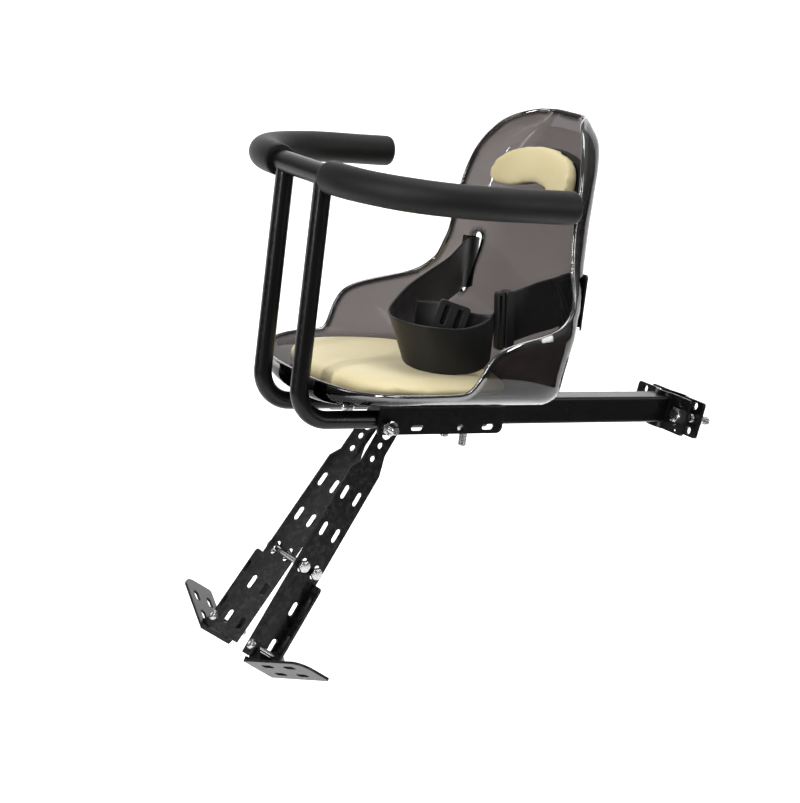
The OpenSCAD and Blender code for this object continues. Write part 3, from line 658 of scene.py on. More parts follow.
rear_a = table([(10, 75), (15, 82), (20, 88.5), (26, 95), (34, 100.5), (41, 104), (52, 106.5), (67, 109.5), (100, 117.5), (121, 123.5), (135, 128), (150, 131.5), (165, 133.5), (180, 135.1), (195, 136.6), (205, 138), (215, 139.4), (226, 142.1), (239, 146), (249, 149), (258, 150.6), (270, 150), (300, 150)])
side_b = table([(10, 0), (84, 0), (91, -0.7), (97, -2.1), (104, -5), (115, -8), (125, -12.7), (135, -18.2), (150, -26.3), (165, -30), (180, -33.1), (195, -35.2), (210, -37.7), (225, -42.2), (239, -49.5), (249, -56.8), (258, -64.7), (264, -73), (270, -84), (276, -94), (300, -105)])
under = table([(0, 0), (20, 0.56), (40, 2.24), (60, 5.04), (80, 8.96), (100, 14), (110, 17), (120, 21.6), (126.5, 26), (131, 31.5), (134.5, 40), (138, 52), (142, 70)])
heel = table([(-445, -1), (-270, -1), (-253, -0.8), (-236, 0.5), (-223, 4.5), (-214, 10.5), (-208, 17.5), (-203, 27), (-195, 51), (-160, 150)])
RIM = np.array([(-440, 36), (-418, 37), (-402, 38), (-381, 41), (-350, 43.5), (-326, 44.5), (-319, 46.5), (-315, 51), (-311, 60), (-306.5, 71), (-303, 78), (-298, 83.5), (-290, 88), (-280, 91.5), (-264, 95.5), (-245, 100), (-231, 104.5), (-222, 109.5), (-216, 115.5), (-213, 123), (-212, 132), (-211.7, 150), (-211.6, 170), (-211, 185), (-209.3, 200), (-206.8, 214), (-204.3, 228), (-201, 240), (-197, 250), (-193, 258.5), (-188.5, 265), (-183, 270), (-174, 274), (-163, 276), (-150, 276.5)], float)


def chaikin(p, k=2):
    for _ in range(k):
        q = [p[0]]
        for a, b_ in zip(p, p[1:]):
            q += [0.75 * a + 0.25 * b_, 0.25 * a + 0.75 * b_]
        q.append(p[-1])
        p = np.array(q)
    return p


RIM_S = chaikin(RIM)


def wall_gap(x, y, z):
    """About how far, in mm, a point lies outside the walls (negative inside)."""
    dx, ay = x - CX, np.abs(y)
    a = np.where(dx >= 0, rear_a(z), AF)
    n = np.where(dx >= 0, 5.0, 2.5)
    b_ = SB + side_b(z)
    q = (np.abs(dx) / a) ** n + (ay / b_) ** n
    q = np.maximum(q, 1e-12) ** (1 / n)
    return (q - 1) * np.sqrt(dx * dx + ay * ay) / np.maximum(q, 1e-6)


def body_gap(x, y, z, rr=11.0):
    """Walls and underside, their meeting rounded."""
    g1 = wall_gap(x, y, z)
    dish, back = under(np.abs(y)), heel(x)
    g2 = DECK + 0.5 * (dish + back + np.sqrt((dish - back) ** 2 + 9.0)) - 0.5 - z
    u, v = np.maximum(g1 + rr, 0), np.maximum(g2 + rr, 0)
    return np.where((g1 > -rr) & (g2 > -rr), np.hypot(u, v) - rr, np.maximum(g1, g2))


def cast(az, el, z0=92.0):
    """Where a ray from the seat's middle leaves the outer surface, by bisection."""
    dx, dy, dz = np.cos(el) * np.cos(az), np.cos(el) * np.sin(az), np.sin(el)
    lo, hi = np.zeros_like(az), np.full_like(az, 420.0)
    for _ in range(46):
        mid = (lo + hi) / 2
        out = body_gap(CX + mid * dx, mid * dy, z0 + mid * dz) > 0
        hi = np.where(out, mid, hi)
        lo = np.where(out, lo, mid)
    r = (lo + hi) / 2
    return np.stack([CX + r * dx, r * dy, z0 + r * dz], -1)


def outside_rim(p):
    """Positive where a point of the wall is cut away above the rim."""
    x, z = p[..., 0], p[..., 2]
    # the side profile is read as height over x up to its steep part, then as x over height
    z_low = np.interp(x, RIM_S[:, 0], RIM_S[:, 1])
    steep = np.interp(z, RIM_S[:, 1], RIM_S[:, 0])
    g_side = np.where(x < -214.5, z - z_low, steep - x)
    return np.maximum(g_side, z - 276.3) + 2.0


def column_top(az):
    """The elevation angle at which each column meets the rim."""
    e = np.linspace(math.radians(-50), math.radians(62), 560)
    A, E = np.meshgrid(az, e, indexing="ij")
    g = outside_rim(cast(A, E))
    first = np.argmax(g > 0, axis=1)
    lo, hi = e[np.maximum(first - 1, 0)], e[first]
    for _ in range(22):
        mid = (lo + hi) / 2
        out = outside_rim(cast(az, mid)) > 0
        hi = np.where(out, mid, hi)
        lo = np.where(out, lo, mid)
    return (lo + hi) / 2


az0 = np.linspace(0, math.pi, 1400)
el0 = column_top(az0)
rim0 = cast(az0, el0)
s0 = np.r_[0, np.cumsum(np.linalg.norm(np.diff(rim0, axis=0), axis=1))]
HALF = 170
q = np.linspace(0, s0[-1], HALF + 1)
az_h = np.interp(q, s0, az0)
el_h = column_top(az_h)
# soften single-sample jumps of the rim without moving its ends
for _ in range(1):
    el_h[1:-1] = 0.25 * el_h[:-2] + 0.5 * el_h[1:-1] + 0.25 * el_h[2:]
ROWS = 68
NEAR_RIM = np.array([10, 7, 5, 3.6, 2.4, 1.2, 0.0])
col_pts = []
for a_, e_ in zip(az_h, el_h):
    es = np.linspace(-math.pi / 2, e_, 900)
    p = cast(np.full_like(es, a_), es)
    s = np.r_[0, np.cumsum(np.linalg.norm(np.diff(p, axis=0), axis=1))]
    w = np.linspace(0, 1, ROWS - len(NEAR_RIM) + 1)[:-1]
    w = w * (1 - 0.25) + 0.25 * (1 - (1 - w) ** 2)
    t_ = np.r_[w * (s[-1] - 10), s[-1] - NEAR_RIM]
    col_pts.append(np.stack([np.interp(t_, s, p[:, k]) for k in range(3)], 1))
half = np.array(col_pts)  # columns from the back's middle round the +Y side to the front's middle
other = half[1:-1][::-1] * np.array([1, -1, 1])
outer = np.concatenate([half, other], 0)
NC = len(outer)


def grid_normals(g):
    du = np.roll(g, -1, 0) - np.roll(g, 1, 0)
    dv = np.zeros_like(g)
    dv[:, 1:-1] = g[:, 2:] - g[:, :-2]
    dv[:, 0], dv[:, -1] = g[:, 1] - g[:, 0], g[:, -1] - g[:, -2]
    n = np.cross(dv, du)
    n[:, 0] = (0, 0, -1)
    ln = np.linalg.norm(n, axis=2)[..., None]
    n = n / np.maximum(ln, 1e-9)
    c = np.array([CX, 0, 110.0])
    flip = np.sum(n * (g - c), axis=2) < 0
    n[flip] *= -1
    return n


nrm = grid_normals(outer)
for _ in range(2):
    nrm[:, 1:-1] = nrm[:, 1:-1] + 0.5 * (np.roll(nrm, 1, 0)[:, 1:-1] + np.roll(nrm, -1, 0)[:, 1:-1])
    nrm /= np.linalg.norm(nrm, axis=2)[..., None]
inner = outer - nrm * SHELL_T
rim_o, rim_n = outer[:, -1], nrm[:, -1]
tan = np.roll(rim_o, -1, 0) - np.roll(rim_o, 1, 0)
tan /= np.linalg.norm(tan, axis=1)[:, None]
e_dir = np.cross(tan, rim_n)
e_dir /= np.linalg.norm(e_dir, axis=1)[:, None]
upcol = outer[:, -1] - outer[:, -2]
e_dir[np.sum(e_dir * upcol, axis=1) < 0] *= -1
V, F = [], []
for i in range(NC):
    V += [tuple(p) for p in outer[i, 1:]]
o_idx = lambda i, j: (i % NC) * (ROWS - 1) + (j - 1)
base_b = len(V)
BEAD = 6
for i in range(NC):
    mid = rim_o[i] - rim_n[i] * SHELL_T / 2
    for k in range(1, BEAD):
        al = math.pi * k / BEAD
        V.append(tuple(mid + SHELL_T / 2 * (math.cos(al) * rim_n[i] + math.sin(al) * e_dir[i])))
b_idx = lambda i, k: o_idx(i, ROWS - 1) if k == 0 else (i_idx(i, ROWS - 1) if k == BEAD else base_b + (i % NC) * (BEAD - 1) + k - 1)
base_i = len(V)
for i in range(NC):
    V += [tuple(p) for p in inner[i, 1:]]
i_idx = lambda i, j: base_i + (i % NC) * (ROWS - 1) + (j - 1)
pole_o, pole_i = len(V), len(V) + 1
V += [tuple(outer[0, 0]), tuple(outer[0, 0] + np.array([0, 0, SHELL_T]))]
for i in range(NC):
    F.append((pole_o, o_idx(i + 1, 1), o_idx(i, 1)))
    F.append((pole_i, i_idx(i, 1), i_idx(i + 1, 1)))
    for j in range(1, ROWS - 1):
        F.append((o_idx(i, j), o_idx(i + 1, j), o_idx(i + 1, j + 1), o_idx(i, j + 1)))
        F.append((i_idx(i + 1, j), i_idx(i, j), i_idx(i, j + 1), i_idx(i + 1, j + 1)))
    for k in range(BEAD):
        F.append((b_idx(i, k), b_idx(i + 1, k), b_idx(i + 1, k + 1), b_idx(i, k + 1)))
shell = make("seat_shell_clear", V, F, M["clear_smoke"], "seat", ("seat_shell",))
bm = bmesh.new()
bm.from_mesh(shell.data)
bmesh.ops.recalc_face_normals(bm, faces=bm.faces)
bm.to_mesh(shell.data)
bm.free()


def cut(target, parts):
    V_, F_ = placed(parts)
    me = bpy.data.meshes.new("cutter")
    me.from_pydata((np.asarray(V_, float) * MM).tolist(), [], F_)
    bm_ = bmesh.new()
    bm_.from_mesh(me)
    bmesh.ops.recalc_face_normals(bm_, faces=bm_.faces)
    bm_.to_mesh(me)
    bm_.free()
    c = bpy.data.objects.new("cutter", me)
    scene.collection.objects.link(c)
    mod = target.modifiers.new("cut", "BOOLEAN")
    mod.object, mod.operation, mod.solver = c, "DIFFERENCE", "EXACT"
    dg = bpy.context.evaluated_depsgraph_get()
    done = bpy.data.meshes.new_from_object(target.evaluated_get(dg), depsgraph=dg)
    target.modifiers.remove(mod)
    old = target.data
    target.data = done
    bpy.data.objects.remove(c)
    return old


def stadium(w, l, x0, x1, n=12):
    pts = []
    for i in range(n + 1):
        a = math.pi * i / n
        pts.append((w / 2 * math.cos(a), (l - w) / 2 + w / 2 * math.sin(a)))
    for i in range(n + 1):
        a = math.pi + math.pi * i / n
        pts.append((w / 2 * math.cos(a), -(l - w) / 2 + w / 2 * math.sin(a)))
    k = len(pts)
    v = [(x0, y, z) for y, z in pts] + [(x1, y, z) for y, z in pts]
    f = [tuple(range(k)), tuple(range(2 * k - 1, k - 1, -1))] + [(i, i + k, (i + 1) % k + k, (i + 1) % k) for i in range(k)]
    return v, f


cyl = lathe([(0, 0), (3.3, 0), (3.3, 30), (0, 30)], 24)
sl = stadium(9, 58, -230, -150)
cut(shell, [(sl[0], sl[1], T(0, s * 84, 121)) for s in (-1, 1)] + [(cyl[0], cyl[1], T(x, y, 5)) for x in (-283, -243) for y in (-22, 22)])
shell.data.polygons.foreach_set("use_smooth", [True] * len(shell.data.polygons))
shell.data.set_sharp_from_angle(angle=math.radians(38))
if not shell.data.materials:
    shell.data.materials.append(M["clear_smoke"])
# how near each point is to the rim or a slot's edge: the dark look that light leaving by the edges gives is painted
# there as a darker base colour, painted shade
rim_mid = rim_o - rim_n * SHELL_T / 2
tree = mathutils.kdtree.KDTree(4 * NC)
for i in range(NC):
    for k in range(4):
        tree.insert(Vector(rim_mid[i] + (rim_mid[(i + 1) % NC] - rim_mid[i]) * k / 4), 4 * i + k)
tree.balance()
edge_near = np.zeros(len(shell.data.vertices), np.float32)
for vert in shell.data.vertices:
    c = vert.co / MM
    d_ = tree.find(c)[2]
    if c.x > -235:
        d_ = min(d_, 1.6 + abs(math.hypot(abs(c.y) - 84, max(abs(c.z - 121) - 24.5, 0)) - 4.5))
    edge_near[vert.index] = min(1.0, max(0.0, (5.2 - d_) / 2.6))
shell.data.attributes.new("edge_near", "FLOAT", "POINT").data.foreach_set("value", edge_near)
# round its foot the shell gets a darker base colour, painted shade for the dark underside, and a lower IOR
foot = np.array([min(1.0, max(0.0, (44 - v_.co.z / MM) / 20)) for v_ in shell.data.vertices], np.float32)
shell.data.attributes.new("foot", "FLOAT", "POINT").data.foreach_set("value", foot)


# ------------------------------------------------------------------ cushions
def soft_copy(node, name, shrink, voxel, pressure, cap, steps=20, keep_low=None):
    src = nodes[node]
    me = src.data.copy()
    o = bpy.data.objects.new(name, me)
    scene.collection.objects.link(o)
    me.materials.clear()
    me.materials.append(M["cream_fabric"])
    co = np.array([v.co for v in me.vertices])
    lo, hi = co.min(0), co.max(0)
    c = (lo + hi) / 2
    k = 1 - 2 * shrink * MM / (hi - lo)
    me.vertices.foreach_set("co", ((co - c) * k + c).ravel())
    me.update()
    rm = o.modifiers.new("remesh", "REMESH")
    rm.mode, rm.voxel_size, rm.use_smooth_shade = "VOXEL", voxel * MM, True
    sm = o.modifiers.new("round", "SMOOTH")
    sm.factor, sm.iterations = 0.6, 14
    dg = bpy.context.evaluated_depsgraph_get()
    flat = bpy.data.meshes.new_from_object(o.evaluated_get(dg), depsgraph=dg)
    o.modifiers.clear()
    o.data = flat
    start = np.array([v.co for v in flat.vertices])
    cl = o.modifiers.new("cloth", "CLOTH")
    s = cl.settings
    s.use_pressure, s.uniform_pressure_force = True, pressure
    s.effector_weights.gravity = 0
    s.tension_stiffness = s.compression_stiffness = 18
    s.bending_stiffness = 2.0
    s.mass = 0.3
    cl.point_cache.frame_start, cl.point_cache.frame_end = 1, steps
    for fr in range(1, steps + 1):
        scene.frame_set(fr)
    dg = bpy.context.evaluated_depsgraph_get()
    ev = o.evaluated_get(dg).to_mesh()
    end = np.array([v.co for v in ev.vertices])
    o.evaluated_get(dg).to_mesh_clear()
    o.modifiers.clear()
    scene.frame_set(1)
    d = end - start
    ln = np.linalg.norm(d, axis=1)
    d *= np.minimum(1, cap * MM / np.maximum(ln, 1e-9))[:, None]
    # the filling evens the cover out: share each point's rise with its neighbours
    ed = np.array([e.vertices[:] for e in flat.edges])
    deg = np.maximum(np.bincount(ed.ravel(), minlength=len(d)), 1)[:, None]
    for _ in range(40):
        tot = np.zeros_like(d)
        np.add.at(tot, ed[:, 0], d[ed[:, 1]])
        np.add.at(tot, ed[:, 1], d[ed[:, 0]])
        d = 0.4 * d + 0.6 * tot / deg
    start = start + d
    flat.vertices.foreach_set("co", start.ravel())
    flat.update()
    return o, lo, hi


def finish_soft(o, node, levels=1):
    flat = o.data
    sub = o.modifiers.new("sub", "SUBSURF")
    sub.levels = sub.render_levels = levels
    dg = bpy.context.evaluated_depsgraph_get()
    done = bpy.data.meshes.new_from_object(o.evaluated_get(dg), depsgraph=dg)
    o.modifiers.clear()
    o.data = done
    done.polygons.foreach_set("use_smooth", [True] * len(done.polygons))
    if not done.materials:
        done.materials.append(M["cream_fabric"])
    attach(o, "seat")
    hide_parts(node)
    return o


# the seat cushion: crowned, its rim rolled under and held to the floor
seat, slo, shi = soft_copy("seat_cushion", "seat_cushion_soft", 2.0, 4.0, 4.0, 5)
co = np.array([v.co for v in seat.data.vertices]) / MM
floor = FLOOR_Z + 1.6 + 0.0014 * co[:, 1] ** 2 + 0.4
co[:, 2] = np.maximum(co[:, 2], floor)
seat.data.vertices.foreach_set("co", (co * MM).ravel())
finish_soft(seat, "seat_cushion")

head, hlo, hhi = soft_copy("head_cushion", "head_cushion_soft", 1.2, 2.6, 3.0, 2.0)
finish_soft(head, "head_cushion")


# ------------------------------------------------------------------ foam grips
def foam_grip(sign, name, node):
    path = [(-429, 45.0, 212)]
    path += [(-429, 50.0, 212)]
    for i in range(1, 31):
        a = math.radians(3 * i)
        path.append((-324 - 105 * math.cos(a), 50 + 105 * math.sin(a), 212))
    path.append((-254.5, 155, 212))
    p, s = resample(np.array(path, float), 2.2)
    t, n1, n2 = frames_along(p)
    L = s[-1]
    rng = np.random.RandomState(7 if sign > 0 else 11)
    ph = rng.rand(6) * 6.283
    NR = 56
    V_, F_ = [], []
    rings = []

    def ring(c, n_, b_, rad):
        rings.append(len(V_))
        for k in range(NR):
            a = 2 * math.pi * k / NR
            r = rad[k] if hasattr(rad, "__len__") else rad
            q_ = c + r * (math.cos(a) * n_ + math.sin(a) * b_)
            V_.append((q_[0], sign * q_[1], q_[2]))

    ang = np.arange(NR) * 2 * math.pi / NR
    # the end by the post is cut square with a small round; the other end is closed and domed
    for r in (9.6, 12.4, 13.4):
        ring(p[0], n1[0], n2[0], r)
    for c, n_, b_, si in zip(p, n1, n2, s):
        r = 14.2
        tip0, tip1 = si, L - si
        if tip0 < 1.6:
            r -= 0.8 * (1 - tip0 / 1.6) ** 2
        if tip1 < 5.0:
            r = 14.2 - 5.0 * (1 - math.sqrt(max(0, 1 - (1 - tip1 / 5.0) ** 2)))
        # slight waviness of the foam
        wav = 0.12 * np.sin(si / 23 + ph[0] + ang) + 0.08 * np.sin(si / 11 + ph[1] - 2 * ang)
        inside = np.clip(math.e ** (-((si - 88) / 62) ** 2), 0, 1)
        tow = np.maximum(0, -np.cos(ang - 0)) if False else 0
        ring(c, n_, b_, r - 0.14 + wav * min(1, tip1 / 12))
    for a_, b_ in zip(rings, rings[1:]):
        for k in range(NR):
            F_.append((a_ + k, a_ + (k + 1) % NR, b_ + (k + 1) % NR, b_ + k))
    V_.append((p[-1][0], sign * p[-1][1], p[-1][2]))
    for k in range(NR):
        F_.append((rings[-1] + k, rings[-1] + (k + 1) % NR, len(V_) - 1))
    # the bore, so the sleeve is a closed form round the bar
    back = []
    keep = [i for i, si in enumerate(s) if si < L - 5]
    for i in keep[::-1]:
        back.append(len(V_))
        for k in range(NR):
            a = 2 * math.pi * k / NR
            q_ = p[i] + 9.6 * (math.cos(a) * n1[i] + math.sin(a) * n2[i])
            V_.append((q_[0], sign * q_[1], q_[2]))
    V_.append((p[keep[-1]][0], sign * p[keep[-1]][1], p[keep[-1]][2]))
    ctr = len(V_) - 1
    for k in range(NR):
        F_.append((ctr, back[0] + k, back[0] + (k + 1) % NR))
    for a_, b_ in zip(back, back[1:]):
        for k in range(NR):
            F_.append((a_ + k, a_ + (k + 1) % NR, b_ + (k + 1) % NR, b_ + k))
    for k in range(NR):
        F_.append((back[-1] + k, back[-1] + (k + 1) % NR, rings[0] + (k + 1) % NR, rings[0] + k))
    o = make(name, V_, F_, M["foam"], "seat", (node,), angle=50)
    bm_ = bmesh.new()
    bm_.from_mesh(o.data)
    bmesh.ops.remove_doubles(bm_, verts=bm_.verts, dist=1e-6)
    bmesh.ops.recalc_face_normals(bm_, faces=bm_.faces)
    bm_.to_mesh(o.data)
    bm_.free()
    o.data.set_sharp_from_angle(angle=math.radians(50))
    return o


foam_grip(1, "right_foam_sleeve", "right_foam_grip")
foam_grip(-1, "left_foam_sleeve", "left_foam_grip")


# ------------------------------------------------------------------ webbing
def strap(name, rows, node=None, thick=1.8, step=2.0, wave=0.0, seed=1, u0=0.0):
    """Webbing through rows of (x, y, low z, high z, lean): a thin closed band with rounded selvedges."""
    p, s = smooth_path(rows, step)
    c = np.stack([p[:, 0], p[:, 1], (p[:, 2] + p[:, 3]) / 2], 1)
    tp = np.gradient(p[:, :2], axis=0)
    tp /= np.maximum(np.linalg.norm(tp, axis=1)[:, None], 1e-9)
    out = np.stack([tp[:, 1], -tp[:, 0]], 1)
    NA = 21
    V_, uv = [], []
    rng = np.random.RandomState(seed)
    ph = rng.rand(4) * 6.283
    K = 2 * (NA - 1) + 8
    sections = []
    for i in range(len(p)):
        lo_, hi_, lean = p[i, 2], p[i, 3], p[i, 4]
        sec = []
        # walk round the section: face, rounded selvedge, back, rounded selvedge
        ws = np.linspace(0, 1, NA)
        face = [(w, 0.5) for w in ws]
        ends = [(1 + 0.5 * thick / (hi_ - lo_) * math.sin(a) * 0.9, 0.5 * math.cos(a)) for a in (math.pi * 0.25, math.pi * 0.5, math.pi * 0.75)]
        backf = [(w, -0.5) for w in ws[::-1]]
        ends2 = [(-0.5 * thick / (hi_ - lo_) * math.sin(a) * 0.9, -0.5 * math.cos(a)) for a in (math.pi * 0.25, math.pi * 0.5, math.pi * 0.75)]
        for w, d in face + ends + backf + ends2:
            sag = wave * (math.sin(s[i] / 17 + ph[0] + 2.2 * w) * 0.6 + math.sin(s[i] / 8.5 + ph[1] - 3 * w) * 0.25) * 1.0
            edge = 1 - 0.22 * (1 if 0.03 < w < 0.97 else 0)
            off = d * thick * edge + sag + lean * w
            V_.append((p[i, 0] + out[i, 0] * off, p[i, 1] + out[i, 1] * off, lo_ + (hi_ - lo_) * w))
            uv.append((u0 + s[i], w * (hi_ - lo_), 0))
            sec.append(len(V_) - 1)
        sections.append(sec)
    F_ = []
    n = len(sections[0])
    for a_, b_ in zip(sections, sections[1:]):
        for k in range(n):
            F_.append((a_[k], b_[k], b_[(k + 1) % n], a_[(k + 1) % n]))
    F_.append(tuple(sections[0]))
    F_.append(tuple(reversed(sections[-1])))
    o = make(name, V_, F_, M["webbing"], "seat", (node,) if node else (), angle=45)
    at = o.data.attributes.new("web_uv", "FLOAT_VECTOR", "POINT")
    at.data.foreach_set("vector", np.array(uv, np.float32).ravel())
    bm_ = bmesh.new()
    bm_.from_mesh(o.data)
    bmesh.ops.recalc_face_normals(bm_, faces=bm_.faces)
    bm_.to_mesh(o.data)
    bm_.free()
    o.data.set_sharp_from_angle(angle=math.radians(45))
    return o, p, s, out


right_run = [(-194.2, 102.4, 97, 143, 0), (-188.9, 95.8, 97, 143, 0), (-185.6, 90, 97, 143, 0), (-186.6, 86.6, 97, 143, 0), (-191.5, 83.6, 97, 143, 0), (-201, 81.4, 97, 143, 0), (-215, 69.5, 94, 140, 0), (-245, 48, 85, 129, 0), (-275, 28, 75, 121, 0), (-297, 12, 66, 112, 4), (-311, -3, 57, 101.5, 11), (-319.5, -20, 50, 91.5, 19), (-321, -38, 48, 89, 17), (-315, -54, 48, 89, 13), (-300, -64, 48, 89.5, 9), (-282, -67.5, 49.5, 93, 5), (-269, -68.5, 54, 98.5, 2), (-262.2, -69, 62, 107, 0)]
left_run = [(-194.2, -102.4, 97, 143, 0), (-188.9, -95.8, 97, 143, 0), (-185.6, -90, 97, 143, 0), (-186.6, -86.6, 97, 143, 0), (-191.5, -84, 97, 143, 0), (-201, -82.2, 97, 143, 0), (-210, -78.6, 92.5, 138.5, 0), (-224, -73.8, 87, 133, 0), (-236, -70.8, 81.5, 127.5, 0), (-246.5, -69.8, 77.5, 123.5, 0)]
tail_run = [(-262.8, -64.6, 55, 101, 0), (-268, -60, 54, 100, 0), (-276, -55.5, 54, 100, 0), (-290, -48, 57, 103, 0), (-300, -39.5, 60, 106, 0), (-306, -26, 58, 104, 0), (-306.5, -12, 55, 101, 0), (-301, 0, 53.5, 99.5, 0)]
right_web = strap("right_strap_web", right_run, "right_belt_strap", wave=0.5, seed=3)
left_web = strap("left_strap_web", left_run, "left_belt_strap", wave=0.3, seed=5)
tail_web = strap("tail_web", tail_run, "belt_tail", wave=0.4, seed=8)


def on_web(web, u, w, off):
    """The point at length u, share w of the width, off mm outside a strap's middle."""
    _, p, s, out = web
    g = lambda k: np.interp(u, s, p[:, k])
    o = np.array([np.interp(u, s, out[:, 0]), np.interp(u, s, out[:, 1])])
    o /= np.linalg.norm(o)
    d = off + g(4) * w
    return np.array([g(0) + o[0] * d, g(1) + o[1] * d, g(2) + (g(3) - g(2)) * w])


def ply(name, web, u_low, u_high, start, side_, thick=1.5, lap=0.75):
    """A second layer of webbing sewn on a strap from start, its end cut on the slant."""
    nu, nw = 26, 17
    V_, uv = [], []
    for lay in (lap, lap + thick):
        for i in range(nu):
            for j in range(nw):
                w = j / (nw - 1)
                u = start + (u_low + (u_high - u_low) * w - start) * i / (nu - 1)
                soft = 0.25 if (j in (0, nw - 1) and lay > lap) else 0
                V_.append(tuple(on_web(web, u, 0.012 + 0.976 * w, side_ * (lay - soft))))
                uv.append((u, w * 46, 0))
    n = nu * nw
    F_ = grid_faces(nu, nw) + [tuple(q + n for q in reversed(f_)) for f_ in grid_faces(nu, nw)]
    for i in range(nu - 1):
        for j in (0, nw - 1):
            a, b_ = i * nw + j, (i + 1) * nw + j
            F_.append((a, b_, b_ + n, a + n) if j else (b_, a, a + n, b_ + n))
    for j in range(nw - 1):
        for i in (0, nu - 1):
            a, b_ = i * nw + j, i * nw + j + 1
            F_.append((b_, a, a + n, b_ + n) if i else (a, b_, b_ + n, a + n))
    o = make(name, V_, F_, M["webbing"], "seat", angle=45)
    o.data.attributes.new("web_uv", "FLOAT_VECTOR", "POINT").data.foreach_set("vector", np.array(uv, np.float32).ravel())
    bm_ = bmesh.new()
    bm_.from_mesh(o.data)
    bmesh.ops.recalc_face_normals(bm_, faces=bm_.faces)
    bm_.to_mesh(o.data)
    bm_.free()
    o.data.set_sharp_from_angle(angle=math.radians(45))
    return o


def stitches(name, web, lines, off, gap_=3.4, length=2.5, r=0.33):
    """Thread lying on a strap: lines of (u, w) corners, one small capsule a stitch."""
    V_, F_ = [], []
    for line in lines:
        pts = []
        for (u0, w0), (u1, w1) in zip(line, line[1:]):
            k = max(2, int(math.hypot(u1 - u0, (w1 - w0) * 46) * 2))
            pts += [on_web(web, u0 + (u1 - u0) * i / k, w0 + (w1 - w0) * i / k, off) for i in range(k)]
        pts.append(on_web(web, line[-1][0], line[-1][1], off))
        q, d = resample(np.array(pts), 0.4)
        at_ = 0.0
        while at_ + length < d[-1]:
            a = np.array([np.interp(at_, d, q[:, k]) for k in range(3)])
            b_ = np.array([np.interp(at_ + length, d, q[:, k]) for k in range(3)])
            ax = (b_ - a) / np.linalg.norm(b_ - a)
            n1 = np.cross(ax, (0.3, 0.2, 0.93))
            n1 /= np.linalg.norm(n1)
            n2 = np.cross(ax, n1)
            base = len(V_)
            V_.append(tuple(a))
            for f_ in (0.12, 0.35, 0.65, 0.88):
                rr = r * math.sin(math.pi * f_) ** 0.5
                for k in range(6):
                    t_ = math.pi * k / 3
                    V_.append(tuple(a + (b_ - a) * f_ + rr * (math.cos(t_) * n1 + math.sin(t_) * n2)))
            V_.append(tuple(b_))
            for k in range(6):
                m_ = (k + 1) % 6
                F_.append((base, base + 1 + m_, base + 1 + k))
                F_.append((base + 25, base + 19 + k, base + 19 + m_))
                for row in range(3):
                    c_ = base + 1 + 6 * row
                    F_.append((c_ + k, c_ + m_, c_ + 6 + m_, c_ + 6 + k))
            at_ += gap_
    o = make(name, V_, F_, M["thread"], "seat")
    return o


out_side = 1 if left_web[3][-1][1] < 0 else -1
ply("left_strap_fold", left_web, 31.8, 48.8, 23.0, out_side)
stitches("left_strap_stitching", left_web, [[(25, 0.08), (29.3, 0.08), (45.8, 0.92), (25, 0.92), (25, 0.08)], [(25, 0.08), (43.8, 0.92)], [(29.3, 0.08), (25, 0.92)]], out_side * 2.3)
# the fold lies on the loop's hollow side, away from the bucket's back
far_side = -1 if on_web(right_web, 60, 0.5, 5)[0] > on_web(right_web, 60, 0.5, -5)[0] else 1
ply("right_strap_fold", right_web, 39.5, 47.5, 25.0, far_side)
stitches("right_strap_stitching", right_web, [[(27, 0.08), (37, 0.08), (44.5, 0.92), (27, 0.92), (27, 0.08)], [(27, 0.08), (43.5, 0.92)], [(36.5, 0.08), (27, 0.92)]], far_side * 2.3)
tail_len = tail_web[2][-1]
for k_, sd in ((1, 1), (2, -1)):
    stitches("tail_stitching_%d" % k_, tail_web, [[(tail_len - 4, 0.05), (tail_len - 4, 0.95)], [(tail_len - 8, 0.95), (tail_len - 8, 0.05)]], sd * 0.78)


# ------------------------------------------------------------------ floor, light
lo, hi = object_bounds()
# low enough for the footrests when the legs hang straight down
ground = min(lo.z - 0.006, -0.305)
ahead = Vector((math.sin(PSI), math.cos(PSI), 0))
mid = Vector((-0.22, 0, ground))
V_, F_, prof = [], [], []
for k in range(12):
    prof.append((-0.62 + 3.07 * k / 11, 0))
for k in range(1, 17):
    a = math.pi / 2 * k / 16
    prof.append((2.45 + 1.2 * math.sin(a), 1.2 - 1.2 * math.cos(a)))
prof.append((3.65, 3.4))
for d_, h_ in prof:
    wide = min(4.5, 0.6 + 0.26 * (d_ + 0.62) + 3.0 * max(0.0, d_ - 0.3))
    for s_ in (-0.07 - wide, -0.07 + wide):
        V_.append(mid + ahead * d_ + right * s_ + Vector((0, 0, h_)))
me = bpy.data.meshes.new("floor")
me.from_pydata([tuple(v) for v in V_], [], [(2 * i, 2 * i + 1, 2 * i + 3, 2 * i + 2) for i in range(len(prof) - 1)])
me.polygons.foreach_set("use_smooth", [True] * len(me.polygons))
floor_o = bpy.data.objects.new("floor", me)
scene.collection.objects.link(floor_o)
fm, ft, fb = tree_of("floor")
fv = obj_coords(ft)
ft.links.new(mix(ft, noise(ft, fv, 3, 3), (0.83, 0.83, 0.83), (0.86, 0.86, 0.86)), fb.inputs["Base Color"])
fb.inputs["Roughness"].default_value = 0.8
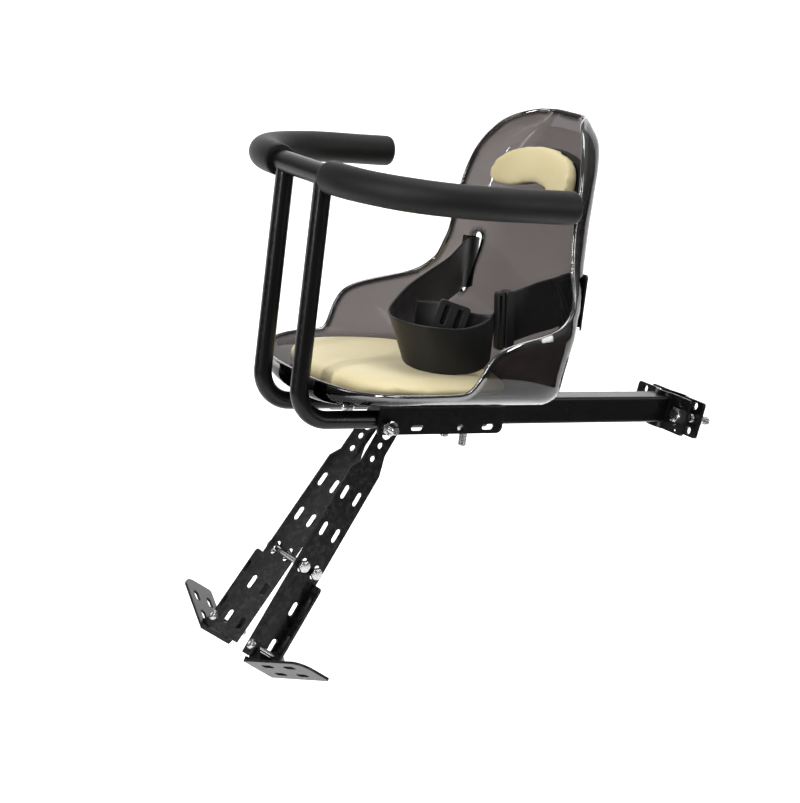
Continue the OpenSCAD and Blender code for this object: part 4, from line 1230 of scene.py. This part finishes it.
fb.inputs["Specular IOR Level"].default_value = 0.1
fb.inputs["Emission Color"].default_value = (1, 1, 1, 1)
fb.inputs["Emission Strength"].default_value = 0.66
me.materials.append(fm)

# a studio round the product: bright above, dim at the sides, dark below
world = bpy.data.worlds.new("world")
scene.world = world
world.use_nodes = True
wt = world.node_tree
wc = add(wt, "ShaderNodeTexCoord")
ws = add(wt, "ShaderNodeSeparateXYZ")
wt.links.new(wc.outputs["Generated"], ws.inputs[0])
wz = maths(wt, "MULTIPLY_ADD", ws.outputs["Z"], 0.5)
wz.node.inputs[2].default_value = 0.5
sky = ramp(wt, wz, [(0.0, 0.03), (0.46, 0.06), (0.53, 0.16), (0.66, 0.30), (0.82, 0.34), (1.0, 0.30)])
wt.links.new(sky, wt.nodes["Background"].inputs["Color"])
wt.nodes["Background"].inputs["Strength"].default_value = 0.95


def area(name, at, aim, size, power, size_y=None, col=(1, 1, 1)):
    d = bpy.data.lights.new(name, "AREA")
    d.energy = power
    d.size = size
    d.color = col
    if size_y:
        d.shape, d.size_y = "RECTANGLE", size_y
    o = bpy.data.objects.new(name, d)
    scene.collection.objects.link(o)
    o.location = at
    o.rotation_mode = "QUATERNION"
    o.rotation_quaternion = (Vector(aim) - Vector(at)).to_track_quat("-Z", "Y")
    return o


area("key", (-1.9, -1.3, 1.4), (-0.3, 0, 0.05), 0.8, 17, 1.3)
area("side", (1.2, -1.5, 0.9), (-0.3, 0, 0.05), 0.35, 7, 1.3)
area("left", (-2.2, 0.6, 0.7), (-0.3, 0, 0.05), 0.35, 4, 1.2)
area("top", (-0.2, 0.5, 2.4), (-0.3, 0, 0), 1.6, 7)
area("strip", (-2.3, -0.75, 0.55), (-0.4, 0, 0.1), 0.14, 30, 1.5)
area("strip_right", (0.75, -1.9, 0.75), (-0.35, 0, 0.1), 0.10, 11, 1.3)
area("backdrop", (0.4, 0.6, 2.6), (1.4, 2.4, 0.6), 1.5, 60, 3)
scene.view_settings.view_transform = "Standard"
scene.view_settings.look = "None"
